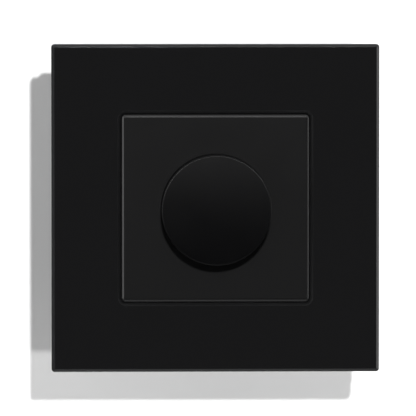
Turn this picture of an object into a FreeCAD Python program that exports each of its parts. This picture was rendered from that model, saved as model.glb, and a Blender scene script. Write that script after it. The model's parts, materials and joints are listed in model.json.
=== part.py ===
import FreeCAD, Part
import math
import os
import Sketcher
from types import SimpleNamespace

# Flush-mounted push and turn light dimmer with a square glass frame.
# Every piece is drawn in panel axes: X to the right, Y up and Z out of the wall towards the user,
# with the spindle on Z and the wall surface at level 0. UPRIGHT then stands the panel on +Z.

DRIVING_SIZES = {
    # Glass frame
    "frame_side": 82,
    "frame_corner": 0.8,
    "frame_bevel": 0.7,
    "frame_back_arris": 0.3,
    "glass_thickness": 4,
    "window_gap": 0.15,
    "window_bevel": 0.6,
    # Bonding tape between glass and carrier
    "tape_thickness": 0.3,
    "tape_inset": 3,
    "tape_width": 9,
    "tape_corner": 2,
    # Moulded frame carrier
    "carrier_inset": 0.8,
    "carrier_corner": 1.5,
    "carrier_height": 6.5,
    "carrier_wall": 1.6,
    "carrier_deck": 1.6,
    "ledge_width": 1.7,
    "ledge_thickness": 1.4,
    "ledge_wall": 1.6,
    "carrier_rib": 1.2,
    "carrier_rib_place": 15,
    "carrier_rib_lift": 1.4,
    # Centre plate
    "centre_side": 47,
    "centre_corner": 1.2,
    "centre_bevel": 0.8,
    "centre_proud": 0.2,
    "centre_face": 1.8,
    "centre_wall": 1.4,
    "centre_boss": 22,
    "centre_boss_depth": 3.2,
    "centre_rib": 1.2,
    "centre_rib_depth": 2.2,
    # Nut and washer on the threaded neck
    "nut_recess": 1.4,
    "nut_recess_width": 19,
    "washer_width": 16.5,
    "washer_thickness": 0.6,
    "nut_across_flats": 14,
    "nut_thickness": 2,
    "nut_chamfer": 0.6,
    "neck_width": 10,
    "neck_stickout": 0.4,
    "neck_chamfer": 0.5,
    "neck_clearance": 0.25,
    "thread_clearance": 0.05,
    # Knob and its clip
    "knob_width": 27.5,
    "knob_height": 9.35,
    "knob_front_bevel": 0.6,
    "knob_wall": 1.6,
    "knob_face": 2.35,
    "knob_rim_gap": 0.5,
    "knob_hub": 8.4,
    "knob_rib": 1,
    "knob_rib_depth": 1.3,
    "knob_clip_thickness": 0.5,
    "knob_clip_height": 3.4,
    "knob_clip_mouth": 2.5,
    # Spindle
    "push_travel": 1.6,
    "spindle_width": 6,
    "spindle_flat": 1.5,
    "spindle_tip_gap": 0.3,
    "spindle_chamfer": 0.4,
    "spindle_tail": 4,
    "spindle_tail_length": 1.8,
    "running_clearance": 0.05,
    "end_gap": 0.2,
    "circlip_width": 9,
    "circlip_thickness": 0.6,
    "circlip_groove": 0.5,
    "circlip_mouth": 3,
    # Support plate
    "plate_edge_gap": 3.1,
    "plate_corner": 4,
    "plate_thickness": 1,
    "box_slot_length": 5,
    "box_slot_width": 3.5,
    "box_slot_web": 1.5,
    "kidney_half_angle": 9,
    "plate_notch_width": 8,
    "plate_notch_depth": 1.5,
    # Module housing
    "housing_half_width": 18.2,
    "housing_half_height": 24.5,
    "housing_cut_corner": 7,
    "housing_wall": 1.5,
    "housing_floor": 1.5,
    "housing_edge_round": 1,
    "cover_thickness": 2,
    "housing_screw_side_inset": 5.7,
    "housing_screw_end_inset": 6,
    "housing_boss": 5.4,
    "housing_screw_width": 2.6,
    "housing_screw_length": 12,
    "housing_screw_head": 5.2,
    "housing_screw_head_height": 1.8,
    "housing_screw_clearance": 0.1,
    "driver_slot_width": 0.7,
    "driver_slot_depth": 0.9,
    "vent_slot_width": 1.6,
    "vent_slot_length": 12,
    "vent_slot_pitch": 3.6,
    "vent_slot_up": 8,
    # Potentiometer
    "flange_inset": 1,
    "flange_thickness": 1.5,
    "pot_width": 22,
    "pot_wall": 1.2,
    "pot_floor": 1.2,
    "rotor_gap": 0.3,
    "rotor_thickness": 2.8,
    "rotor_lug_half_angle": 21,
    "turn_range": 270,
    "stop_play": 2,
    "stop_reach": 1.2,
    "part_gap": 0.2,
    "wiper_thickness": 0.3,
    "wiper_gap": 0.1,
    "track_thickness": 0.15,
    "track_inset": 0.7,
    "track_width": 2,
    "track_gap_half_angle": 35,
    "track_board_thickness": 0.8,
    "spindle_hole": 7,
    # Circuit board and what stands on it
    "board_thickness": 1.6,
    "board_clearance": 0.3,
    "triac_width": 10,
    "triac_thickness": 4.4,
    "triac_lead": 0.9,
    "triac_pot_gap": 2,
    "boss_gap": 0.4,
    "board_edge_gap": 0.7,
    "heat_sink_base": 1.3,
    "heat_sink_fin": 1,
    "heat_sink_fin_inset": 0.4,
    "fuse_width": 8.4,
    "fuse_height": 7.6,
    "resistor_width": 2.5,
    "resistor_height": 2,
    "resistor_length": 6.5,
    "resistor_up": 6,
    "switch_part_gap": 1.5,
    "choke_width": 6,
    "choke_height": 5,
    "winding_thickness": 1.5,
    "winding_inset": 1.4,
    "capacitor_width": 4.8,
    "capacitor_height": 8.5,
    # Push switch
    "switch_width": 18,
    "switch_wall": 1.3,
    "switch_floor": 1.2,
    "switch_depth": 9.1,
    "plunger_width": 9,
    "plunger_flange": 12,
    "plunger_length": 3.2,
    "plunger_flange_thickness": 1.3,
    "plunger_play": 0.15,
    "spring_wire": 0.5,
    "spring_width": 7.2,
    "spring_seat": 0.6,
    "bridge_thickness": 0.3,
    "bridge_length": 13.4,
    "bridge_width": 9.8,
    "contact_width": 1.7,
    "contact_height": 0.5,
    "contact_place": 5.8,
    "contact_strip": 0.5,
    "contact_strip_width": 3,
    # Wire terminals
    "terminal_height": 9.6,
    "terminal_wall": 0.85,
    "terminal_partition": 1.5,
    "clamp_height": 7.6,
    "clamp_depth": 6,
    "clamp_side_wall": 0.6,
    "clamp_bridge": 0.7,
    "wire_entry_step": 0.1,
    "terminal_well": 3,
    "terminal_screw_width": 2.5,
    "terminal_screw_stickout": 1.6,
    # Spreading claws
    "claw_screw_width": 3,
    "claw_screw_head": 6,
    "claw_screw_head_height": 1.9,
    "claw_plate_hole": 3.5,
    "claw_nut_width": 6,
    "claw_nut_thickness": 2.4,
    "claw_travel": 5,
    "claw_ramp_angle": 30,
    "claw_sheet": 1.2,
    "claw_half_width": 5.4,
    "claw_leg_gap": 0.3,
    "claw_leg_end": 9.2,
    "claw_tooth_reach": 1.6,
    "claw_tooth_rise": 2.2,
    "claw_tooth_notch": 1.8,
    "claw_fork_gap": 0.4,
    "claw_slide_gap": 0.1,
    "claw_lug_thickness": 1.8,
    "claw_rib_width": 2,
    "claw_rib_start": 1,
}

SHEET_NAME = "sizes"
NEAR = 0.001
UPRIGHT = FreeCAD.Placement(FreeCAD.Vector(0, 0, 0), FreeCAD.Rotation(FreeCAD.Vector(1, 0, 0), 90))
SIDES = (-1, 1)


class Length:
    """A size that carries both its number and its formula in terms of the sheet."""

    def __init__(self, text, number):
        self.text = text
        self.number = number

    def joined(self, other, sign, number):
        return Length(f"{self.text} {sign} {wrapped(other)}", number)

    def __add__(self, other):
        return self.joined(other, "+", self.number + number_of(other))

    def __sub__(self, other):
        return self.joined(other, "-", self.number - number_of(other))

    def __mul__(self, other):
        return Length(f"{wrapped(self)} * {wrapped(other)}", self.number * number_of(other))

    def __truediv__(self, other):
        return Length(f"{wrapped(self)} / {wrapped(other)}", self.number / number_of(other))

    def __neg__(self):
        return Length(f"0 - {wrapped(self)}", -self.number)

    def __radd__(self, other):
        return as_length(other) + self

    def __rsub__(self, other):
        return as_length(other) - self

    def __rmul__(self, other):
        return self * other

    def __rtruediv__(self, other):
        return as_length(other) / self


def as_length(value):
    return value if isinstance(value, Length) else Length(str(value), float(value))


def number_of(value):
    return as_length(value).number


def wrapped(value):
    text = as_length(value).text
    return f"({text})" if " " in text or text.startswith("-") else text


def turned(name, function, angle):
    """A trigonometric function of an angle in degrees."""
    return Length(f"{name}({as_length(angle).text})", function(math.radians(number_of(angle))))


def sine(angle):
    return turned("sin", math.sin, angle)


def cosine(angle):
    return turned("cos", math.cos, angle)


def tangent(angle):
    return turned("tan", math.tan, angle)


# Document and sheet of driving sizes
doc = FreeCAD.newDocument("rotary_dimmer")
sheet = doc.addObject("Spreadsheet::Sheet", SHEET_NAME)
for row, (size_name, size_value) in enumerate(DRIVING_SIZES.items(), 1):
    sheet.set(f"A{row}", size_name)
    sheet.set(f"B{row}", str(size_value))
    sheet.setAlias(f"B{row}", size_name)
doc.recompute()
size = SimpleNamespace(**{
    name: Length(f"{SHEET_NAME}.{name}", float(value)) for name, value in DRIVING_SIZES.items()
})

# Levels in front of the wall, from the support plate out to the knob
WALL = Length("0", 0.0)
plate_front = size.plate_thickness
ledge_top = size.carrier_height - size.carrier_deck
carrier_front = size.carrier_height
glass_back = carrier_front + size.tape_thickness
glass_front = glass_back + size.glass_thickness
centre_front = glass_front + size.centre_proud
nut_seat = centre_front - size.nut_recess
washer_front = nut_seat + size.washer_thickness
nut_front = washer_front + size.nut_thickness
neck_end = nut_front + size.neck_stickout
knob_back = centre_front + size.push_travel + size.knob_rim_gap
knob_front = knob_back + size.knob_height
knob_ceiling = knob_front - size.knob_face
hub_back = neck_end + size.push_travel + size.end_gap
spindle_end = knob_ceiling - size.spindle_tip_gap

# Levels behind the wall surface, from the module cover back to the housing floor
cover_back = -size.cover_thickness
flange_back = cover_back - size.flange_thickness
circlip_front = flange_back - size.end_gap
circlip_back = circlip_front - size.circlip_thickness
rotor_front = circlip_back - size.push_travel - size.end_gap
rotor_back = rotor_front - size.rotor_thickness
wiper_back = rotor_back - size.wiper_thickness
track_front = wiper_back - size.wiper_gap
track_board_front = track_front - size.track_thickness
pot_floor_front = track_board_front - size.track_board_thickness
board_front = pot_floor_front - size.pot_floor
board_back = board_front - size.board_thickness
plunger_front = board_back - size.plunger_play
spindle_shoulder = plunger_front + size.running_clearance
spindle_tail_end = spindle_shoulder - size.spindle_tail_length
plunger_back = plunger_front - size.plunger_length
switch_back = board_back - size.switch_depth
switch_floor_front = switch_back + size.switch_floor
housing_floor_front = switch_back - size.end_gap
housing_back = housing_floor_front - size.housing_floor

# Places across the module, from the housing's own sides
UP_ANGLE = 90
DOWN_ANGLE = 270
board_half_width = size.housing_half_width - size.housing_wall - size.board_clearance
board_half_height = size.housing_half_height - size.housing_wall - size.board_clearance
housing_screw_across = size.housing_half_width - size.housing_screw_side_inset
housing_screw_up = size.housing_half_height - size.housing_screw_end_inset
boss_inside = housing_screw_across - size.housing_boss / 2 - size.boss_gap
part_end = board_half_height - size.board_edge_gap
above_pot = size.pot_width / 2 + size.triac_pot_gap
triac_height = part_end - above_pot
triac_up = (part_end + above_pot) / 2
fin_pitch = (boss_inside - size.heat_sink_fin_inset - size.heat_sink_fin / 2) / 2
fuse_down = part_end - size.fuse_width / 2
above_switch = size.switch_width / 2 + size.switch_part_gap
choke_across = boss_inside - size.winding_thickness - size.choke_width / 2
capacitor_across = boss_inside - size.capacitor_width / 2
capacitor_length = part_end - above_switch
capacitor_up = (part_end + above_switch) / 2
resistor_across = board_half_width - size.board_edge_gap - size.resistor_width / 2
terminal_down = board_half_height - size.terminal_height / 2
chamber_width = (boss_inside * 2 - size.terminal_wall * 2 - size.terminal_partition * 2) / 3
terminal_pitch = chamber_width + size.terminal_partition
clamp_width = chamber_width - size.running_clearance * 2
clamp_opening = clamp_width - size.clamp_side_wall * 2
wire_entry = clamp_opening - size.wire_entry_step * 2

# Levels and places of the spreading claws
claw_screw_place = size.housing_half_width + size.claw_leg_gap + size.claw_nut_width / 2
claw_lug_back = housing_back + size.housing_floor
claw_lug_front = claw_lug_back + size.claw_lug_thickness
claw_nut_back = claw_lug_front + size.claw_fork_gap
claw_nut_front = claw_nut_back + size.claw_nut_thickness
claw_flange_back = claw_nut_front + size.running_clearance
claw_flange_front = claw_flange_back + size.claw_sheet
claw_leg_inside = claw_screw_place + size.claw_nut_width / 2 + size.claw_leg_gap
claw_leg_outside = claw_leg_inside + size.claw_sheet
claw_ramp_slope = tangent(size.claw_ramp_angle)
claw_ramp_start = size.housing_half_width + size.claw_rib_start
claw_rib_inside = size.claw_nut_width / 2 + size.claw_fork_gap
claw_rib_outside = claw_rib_inside + size.claw_rib_width

# Sides of the square opening that the centre plate sits in
window_side = size.centre_side + size.window_gap * 2
ledge_opening = window_side - size.ledge_width * 2
carrier_side = size.frame_side - size.carrier_inset * 2
plate_side = carrier_side - (size.carrier_wall + size.plate_edge_gap) * 2
box_slot_middle = plate_side / 2 - size.plate_notch_depth - size.box_slot_web - size.box_slot_length / 2
kidney_inside = box_slot_middle - size.box_slot_width / 2
kidney_outside = box_slot_middle + size.box_slot_width / 2
pot_cavity = size.pot_width - size.pot_wall * 2
rotor_radius = pot_cavity / 2 - size.stop_reach - size.rotor_gap
track_outer = rotor_radius - size.track_inset
track_inner = track_outer - size.track_width
flange_side = size.pot_width - size.flange_inset * 2


def bind(item, name, value):
    """Set one property, or one constraint, by its formula."""
    item.setExpression(name, as_length(value).text)


def new_body(name):
    body = doc.addObject("PartDesign::Body", name)
    body.Label = name
    body.AllowCompound = True
    body.Placement = UPRIGHT
    return body


def sketch_on(body, name, role, height):
    """A sketch on one origin plane of its own body, moved along the plane's normal."""
    plane = next(item for item in body.Origin.OriginFeatures if item.Role == role)
    sketch = body.newObject("Sketcher::SketchObject", name)
    sketch.AttachmentSupport = (plane, [""])
    sketch.MapMode = "FlatFace"
    bind(sketch, "AttachmentOffset.Base.z", height)
    return sketch


def pin(sketch, geometry, vertex, x, y):
    """Hold one vertex at a place given by formulas."""
    for kind, value in (("DistanceX", x), ("DistanceY", y)):
        pin_along(sketch, geometry, vertex, kind, value)


def pin_along(sketch, geometry, vertex, kind, value):
    index = sketch.addConstraint(Sketcher.Constraint(kind, -1, 1, geometry, vertex, number_of(value)))
    bind(sketch, f"Constraints[{index}]", value)


def flat(x, y):
    return FreeCAD.Vector(number_of(x), number_of(y), 0)


def disc(width, x=0, y=0):
    """A circle given by its diameter."""
    def draw(sketch):
        circle = Part.Circle(flat(x, y), FreeCAD.Vector(0, 0, 1), number_of(width) / 2)
        geometry = sketch.addGeometry(circle, False)
        pin(sketch, geometry, 3, x, y)
        index = sketch.addConstraint(Sketcher.Constraint("Diameter", geometry, number_of(width)))
        bind(sketch, f"Constraints[{index}]", width)
    return draw


def arc_angles(start, end, centre, clockwise):
    """Start and end angles of an arc that runs anticlockwise."""
    first = math.atan2(start.y - centre.y, start.x - centre.x)
    last = math.atan2(end.y - centre.y, end.x - centre.x)
    if clockwise:
        first, last = last, first
    if last <= first:
        last += 2 * math.pi
    return first, last


def bend(x, y, centre_x, centre_y, clockwise=False):
    """An outline point that is reached by an arc about a centre."""
    return (x, y, centre_x, centre_y, clockwise)


def outline(*points):
    """A closed outline through points, straight unless a point is made by bend()."""
    def draw(sketch):
        ends = []
        for index, point in enumerate(points):
            before = points[index - 1]
            start = flat(before[0], before[1])
            end = flat(point[0], point[1])
            if len(point) == 2:
                geometry = sketch.addGeometry(Part.LineSegment(start, end), False)
                ends.append((geometry, 1, 2))
                continue
            centre = flat(point[2], point[3])
            first, last = arc_angles(start, end, centre, point[4])
            circle = Part.Circle(centre, FreeCAD.Vector(0, 0, 1), (start - centre).Length)
            geometry = sketch.addGeometry(Part.ArcOfCircle(circle, first, last), False)
            ends.append((geometry, 2, 1) if point[4] else (geometry, 1, 2))
        for index, point in enumerate(points):
            geometry, _, last_end = ends[index]
            following = ends[(index + 1) % len(ends)]
            joined = Sketcher.Constraint("Coincident", geometry, last_end, following[0], following[1])
            sketch.addConstraint(joined)
            pin(sketch, geometry, last_end, point[0], point[1])
            if len(point) > 2:
                pin_arc_centre(sketch, geometry, flat(*point[:2]) - flat(*points[index - 1][:2]), point)
    return draw


def pin_arc_centre(sketch, geometry, chord, point):
    """Hold an arc's centre along the direction in which its ends leave it free."""
    if abs(chord.y) > abs(chord.x):
        pin_along(sketch, geometry, 3, "DistanceX", point[2])
    else:
        pin_along(sketch, geometry, 3, "DistanceY", point[3])


def box(width, height, x=0, y=0):
    """A rectangle about a centre."""
    left = x - width / 2
    right = x + width / 2
    low = y - height / 2
    high = y + height / 2
    return outline((left, low), (right, low), (right, high), (left, high))


def round_box(width, height, corner, x=0, y=0):
    """A rectangle about a centre with rounded corners."""
    left = x - width / 2
    right = x + width / 2
    low = y - height / 2
    high = y + height / 2
    return outline(
        (right - corner, low),
        bend(right, low + corner, right - corner, low + corner),
        (right, high - corner),
        bend(right - corner, high, right - corner, high - corner),
        (left + corner, high),
        bend(left, high - corner, left + corner, high - corner),
        (left, low + corner),
        bend(left + corner, low, left + corner, low + corner),
    )


def slot(length, width, x, y=0):
    """A slot with round ends along X."""
    reach = (length - width) / 2
    end = width / 2
    return outline(
        (x + reach, y - end),
        bend(x + reach, y + end, x + reach, y),
        (x - reach, y + end),
        bend(x - reach, y - end, x - reach, y),
    )


def ring_sector(inner, outer, middle, half_angle):
    """A piece of a flat ring about the spindle, given by its radii and angles in degrees."""
    first = middle - half_angle
    last = middle + half_angle
    return outline(
        (outer * cosine(first), outer * sine(first)),
        bend(outer * cosine(last), outer * sine(last), 0, 0),
        (inner * cosine(last), inner * sine(last)),
        bend(inner * cosine(first), inner * sine(first), 0, 0, True),
    )


def cut_corner_box(half_width, half_height, cut):
    """A rectangle with its corners cut at 45 degrees."""
    return outline(
        (half_width - cut, -half_height),
        (half_width, cut - half_height),
        (half_width, half_height - cut),
        (half_width - cut, half_height),
        (cut - half_width, half_height),
        (-half_width, half_height - cut),
        (-half_width, cut - half_height),
        (cut - half_width, -half_height),
    )


def d_shape(width, flat_place):
    """A round bore or shaft with one flat on its upper side."""
    radius = width / 2
    half_chord = Length(
        f"sqrt(({radius.text}) ^ 2 - ({flat_place.text}) ^ 2)",
        math.sqrt(radius.number ** 2 - flat_place.number ** 2),
    )
    return outline(
        (-half_chord, flat_place),
        bend(half_chord, flat_place, 0, 0),
    )


def swept(body, kind, name, role, height, length, outlines):
    """Pad or pocket outlines along the normal of an origin plane."""
    sketch = sketch_on(body, f"{name}_sketch", role, height)
    for draw in outlines:
        draw(sketch)
    feature = body.newObject(f"PartDesign::{kind}", name)
    feature.Profile = sketch
    bind(feature, "Length", length)
    return feature


def add_layer(body, name, low, high, *outlines):
    """Material between two levels."""
    return swept(body, "Pad", name, "XY_Plane", low, high - low, outlines)


def cut_layer(body, name, low, high, *outlines):
    """A cut between two levels."""
    return swept(body, "Pocket", name, "XY_Plane", high, high - low, outlines)


def add_across(body, name, low, high, *outlines):
    """Material between two places along Y, drawn in X and level."""
    return swept(body, "Pad", name, "XZ_Plane", -high, high - low, outlines)


def cut_across(body, name, low, high, *outlines):
    """A cut between two places along Y, drawn in X and level."""
    return swept(body, "Pocket", name, "XZ_Plane", -low, high - low, outlines)


def spun(body, kind, name, draw, x=0, y=0, angle=360):
    """Revolve a profile of radius and level about a line parallel to the spindle."""
    sketch = sketch_on(body, f"{name}_sketch", "XZ_Plane", -as_length(y))
    bind(sketch, "AttachmentOffset.Base.x", x)
    draw(sketch)
    feature = body.newObject(f"PartDesign::{kind}", name)
    feature.Profile = sketch
    feature.ReferenceAxis = (sketch, ["V_Axis"])
    bind(feature, "Angle", angle)
    return feature


def add_turned(body, name, draw, x=0, y=0, angle=360):
    return spun(body, "Revolution", name, draw, x, y, angle)


def cut_turned(body, name, draw, x=0, y=0):
    return spun(body, "Groove", name, draw, x, y)


def reach_of(edge):
    """How far an edge lies from the spindle along X or Y."""
    extent = edge.BoundBox
    return max(abs(extent.XMin), abs(extent.XMax), abs(extent.YMin), abs(extent.YMax))


def flat_edges(feature, level, nearest, farthest):
    """Edges at one level whose reach lies between two places."""
    names = []
    for index, edge in enumerate(feature.Shape.Edges, 1):
        extent = edge.BoundBox
        at_level = max(abs(extent.ZMin - number_of(level)), abs(extent.ZMax - number_of(level))) < NEAR
        if at_level and number_of(nearest) - NEAR < reach_of(edge) < number_of(farthest) + NEAR:
            names.append(f"Edge{index}")
    return names


def dressed(body, kind, name, amount, level, nearest, farthest):
    """Round or bevel the edges at one level."""
    doc.recompute()
    base = body.Tip
    names = flat_edges(base, level, nearest, farthest)
    if not names:
        raise RuntimeError(f"{body.Label}: no edge for {name}")
    feature = body.newObject(f"PartDesign::{kind}", name)
    feature.Base = (base, names)
    bind(feature, "Size" if kind == "Chamfer" else "Radius", amount)
    return feature


def bevel(body, name, amount, level, nearest, farthest):
    return dressed(body, "Chamfer", name, amount, level, nearest, farthest)


def rounding(body, name, amount, level, nearest, farthest):
    return dressed(body, "Fillet", name, amount, level, nearest, farthest)


# Frame


def glass_frame():
    body = new_body("glass_frame")
    add_layer(
        body, "pane", glass_back, glass_front,
        round_box(size.frame_side, size.frame_side, size.frame_corner),
        round_box(window_side, window_side, size.centre_corner + size.window_gap),
    )
    half = size.frame_side / 2
    bevel(body, "polished_bevel", size.frame_bevel, glass_front, half - size.frame_corner, half)
    bevel(body, "window_bevel", size.window_bevel, glass_front, 0, window_side / 2)
    bevel(body, "back_arris", size.frame_back_arris, glass_back, half - size.frame_corner, half)


def frame_bonding_tape():
    body = new_body("frame_bonding_tape")
    outside = carrier_side - size.tape_inset * 2
    inside = outside - size.tape_width * 2
    add_layer(
        body, "tape_ring", carrier_front, glass_back,
        round_box(outside, outside, size.tape_corner),
        round_box(inside, inside, size.tape_corner),
    )


def frame_carrier():
    body = new_body("frame_carrier")
    inner_ring = window_side + size.ledge_wall * 2
    cavity = carrier_side - size.carrier_wall * 2
    add_layer(
        body, "block", WALL, carrier_front, round_box(carrier_side, carrier_side, size.carrier_corner),
    )
    cut_layer(
        body, "window", ledge_top, carrier_front,
        round_box(window_side, window_side, size.centre_corner + size.window_gap),
    )
    cut_layer(
        body, "ledge_opening", WALL, ledge_top,
        round_box(ledge_opening, ledge_opening, size.centre_corner),
    )
    ledge_back = ledge_top - size.ledge_thickness
    cut_layer(body, "back_space", WALL, ledge_back, round_box(cavity, cavity, size.centre_corner))
    cut_layer(
        body, "hollow", ledge_back, ledge_top,
        round_box(cavity, cavity, size.centre_corner),
        round_box(inner_ring, inner_ring, size.centre_corner),
    )
    rib_back = plate_front + size.carrier_rib_lift
    rib_length = (cavity - inner_ring) / 2 + size.carrier_wall
    rib_middle = (cavity + inner_ring) / 4
    for side in SIDES:
        for place in SIDES:
            along = size.carrier_rib_place * place
            across = rib_middle * side
            ribs = (
                ("rib_row", box(rib_length, size.carrier_rib, across, along)),
                ("rib_column", box(size.carrier_rib, rib_length, along, across)),
            )
            for rib_name, draw in ribs:
                add_layer(body, f"{rib_name}_{side + 1}{place + 1}", rib_back, ledge_top, draw)


# Centre plate with its nut and washer


def centre_plate():
    body = new_body("centre_plate")
    half = size.centre_side / 2
    inside = size.centre_side - size.centre_wall * 2
    face_back = centre_front - size.centre_face
    boss_back = centre_front - size.centre_face - size.centre_boss_depth
    rib_back = face_back - size.centre_rib_depth
    add_layer(
        body, "block", ledge_top, centre_front,
        round_box(size.centre_side, size.centre_side, size.centre_corner),
    )
    cut_layer(body, "hollow", ledge_top, face_back, box(inside, inside))
    add_layer(body, "boss", boss_back, face_back, box(size.centre_boss, size.centre_boss))
    for index, (width, height) in enumerate(((inside, size.centre_rib), (size.centre_rib, inside))):
        add_layer(body, f"cross_rib_{index}", rib_back, face_back, box(width, height))
    cut_layer(body, "nut_recess", nut_seat, centre_front, disc(size.nut_recess_width))
    cut_layer(body, "neck_hole", boss_back, centre_front, disc(size.neck_width + size.neck_clearance * 2))
    bevel(body, "face_bevel", size.centre_bevel, centre_front, half - size.centre_corner, half)


def neck_washer():
    body = new_body("neck_washer")
    add_layer(
        body, "ring", nut_seat, washer_front,
        disc(size.washer_width),
        disc(size.neck_width + size.neck_clearance * 2),
    )


def neck_nut():
    body = new_body("neck_nut")
    corner = size.nut_across_flats / 2 / cosine(30)
    points = [(corner * cosine(60 * index), corner * sine(60 * index)) for index in range(6)]
    add_layer(
        body, "hexagon", washer_front, nut_front, outline(*points),
        disc(size.neck_width + size.thread_clearance * 2),
    )
    bevel_start = corner - size.nut_chamfer
    bevel_end = corner + size.nut_chamfer
    rise = size.nut_chamfer * tangent(30) * 2
    cut_turned(
        body, "front_chamfer",
        outline((bevel_start, nut_front), (bevel_end, nut_front), (bevel_end, nut_front - rise)),
    )


# Knob


def dimmer_knob():
    body = new_body("dimmer_knob")
    radius = size.knob_width / 2
    face_radius = radius - size.knob_front_bevel
    inner_radius = radius - size.knob_wall
    add_turned(body, "shell", outline(
        (0, knob_ceiling),
        (inner_radius, knob_ceiling),
        (inner_radius, knob_back),
        (radius, knob_back),
        (radius, knob_front - size.knob_front_bevel),
        (face_radius, knob_front),
        (0, knob_front),
    ))
    add_layer(body, "hub", hub_back, knob_ceiling, disc(size.knob_hub))
    rib_start = size.knob_hub / 2 - size.knob_rib / 2
    rib_length = inner_radius - rib_start
    rib_middle = (inner_radius + rib_start) / 2
    rib_back = knob_ceiling - size.knob_rib_depth
    for side in SIDES:
        add_layer(
            body, f"rib_row_{side + 1}", rib_back, knob_ceiling,
            box(rib_length, size.knob_rib, rib_middle * side, 0),
        )
        add_layer(
            body, f"rib_column_{side + 1}", rib_back, knob_ceiling,
            box(size.knob_rib, rib_length, 0, rib_middle * side),
        )
    bore = size.spindle_width + size.running_clearance * 2
    cut_layer(
        body, "d_bore", hub_back, knob_ceiling,
        d_shape(bore, size.spindle_flat + size.running_clearance),
    )


def knob_spring_clip():
    body = new_body("knob_spring_clip")
    clip_inside = size.knob_hub + size.running_clearance * 2
    clip_outside = clip_inside + size.knob_clip_thickness * 2
    clip_front = knob_ceiling - size.knob_rib_depth - size.end_gap
    clip_back = clip_front - size.knob_clip_height
    add_layer(body, "band", clip_back, clip_front, disc(clip_outside), disc(clip_inside))
    cut_layer(
        body, "mouth", clip_back, clip_front,
        box(size.knob_clip_mouth, clip_outside, 0, -clip_outside / 2),
    )


def spindle():
    body = new_body("spindle")
    radius = size.spindle_width / 2
    tail = size.spindle_tail / 2
    groove = radius - size.circlip_groove
    add_turned(body, "shaft", outline(
        (0, spindle_tail_end),
        (tail, spindle_tail_end),
        (tail, spindle_shoulder),
        (radius, spindle_shoulder),
        (radius, circlip_back),
        (groove, circlip_back),
        (groove, circlip_front),
        (radius, circlip_front),
        (radius, spindle_end - size.spindle_chamfer),
        (radius - size.spindle_chamfer, spindle_end),
        (0, spindle_end),
    ))
    waste = radius - size.spindle_flat
    flat_cut = box(size.spindle_width, waste, 0, size.spindle_flat + waste / 2)
    cut_layer(body, "knob_flat", neck_end + size.end_gap, spindle_end, flat_cut)
    drive_start = rotor_front + size.push_travel + size.end_gap
    cut_layer(body, "drive_flat", spindle_shoulder, drive_start, flat_cut)


def spindle_circlip():
    body = new_body("spindle_circlip")
    inside = size.spindle_width - size.circlip_groove * 2 + size.running_clearance
    add_layer(body, "ring", circlip_back + size.running_clearance, circlip_front - size.running_clearance,
              disc(size.circlip_width), disc(inside))
    cut_layer(
        body, "mouth", circlip_back, circlip_front,
        box(size.circlip_mouth, size.circlip_width / 2, 0, -size.circlip_width / 4),
    )


# Potentiometer


def pot_bushing():
    body = new_body("pot_bushing")
    bore = size.spindle_width + size.running_clearance * 2
    add_layer(body, "flange", flange_back, cover_back, box(flange_side, flange_side))
    add_layer(body, "neck", cover_back, neck_end, disc(size.neck_width))
    cut_layer(body, "bore", flange_back, neck_end, disc(bore))
    bevel(body, "neck_bevel", size.neck_chamfer, neck_end, size.neck_width / 2, size.neck_width / 2)


def pot_housing():
    body = new_body("pot_housing")
    add_layer(body, "cup", board_front, flange_back, box(size.pot_width, size.pot_width))
    cut_layer(body, "cavity", pot_floor_front, flange_back, box(pot_cavity, pot_cavity))
    cut_layer(body, "spindle_hole", board_front, pot_floor_front, disc(size.spindle_hole))
    half_angle = (360 - size.turn_range - size.stop_play) / 2 - size.rotor_lug_half_angle
    tip = pot_cavity / 2 - size.stop_reach
    tip_half = tip * tangent(half_angle)
    wall_middle = (pot_cavity + size.pot_wall) / 2
    wall_half = wall_middle * tangent(half_angle)
    add_layer(body, "end_stop", rotor_back, rotor_front, outline(
        (-tip_half, -tip), (-wall_half, -wall_middle), (wall_half, -wall_middle), (tip_half, -tip)))


def track_board():
    body = new_body("track_board")
    side = pot_cavity - size.part_gap * 2
    add_layer(body, "board", pot_floor_front, track_board_front, box(side, side), disc(size.spindle_hole))


def resistive_track():
    body = new_body("resistive_track")
    half_angle = 180 - size.track_gap_half_angle
    add_layer(body, "carbon", track_board_front, track_front, ring_sector(
        track_inner, track_outer, UP_ANGLE, half_angle))


def lug_rest_angle():
    """Where the rotor's lug stands at the dim end, seen from the front: left of the stop below."""
    return DOWN_ANGLE - (360 - size.turn_range) / 2


def wiper_rotor():
    body = new_body("wiper_rotor")
    bore = size.spindle_width + size.running_clearance * 2
    add_layer(body, "disc", rotor_back, rotor_front, disc(rotor_radius * 2))
    lug_reach = pot_cavity / 2 - size.part_gap
    add_layer(body, "stop_lug", rotor_back, rotor_front, ring_sector(
        rotor_radius - size.pot_wall, lug_reach, lug_rest_angle(), size.rotor_lug_half_angle))
    cut_layer(
        body, "drive_bore", rotor_back, rotor_front,
        d_shape(bore, size.spindle_flat + size.running_clearance),
    )


def wiper_contact():
    body = new_body("wiper_contact")
    add_layer(body, "arm", wiper_back, rotor_back, ring_sector(
        track_inner, track_outer, lug_rest_angle(), size.rotor_lug_half_angle / 2))


# Push switch behind the circuit board


def push_switch_housing():
    body = new_body("push_switch_housing")
    inside = size.switch_width - size.switch_wall * 2
    add_layer(body, "block", switch_back, board_back, box(size.switch_width, size.switch_width))
    cut_layer(body, "cavity", switch_floor_front, board_back, box(inside, inside))


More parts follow.
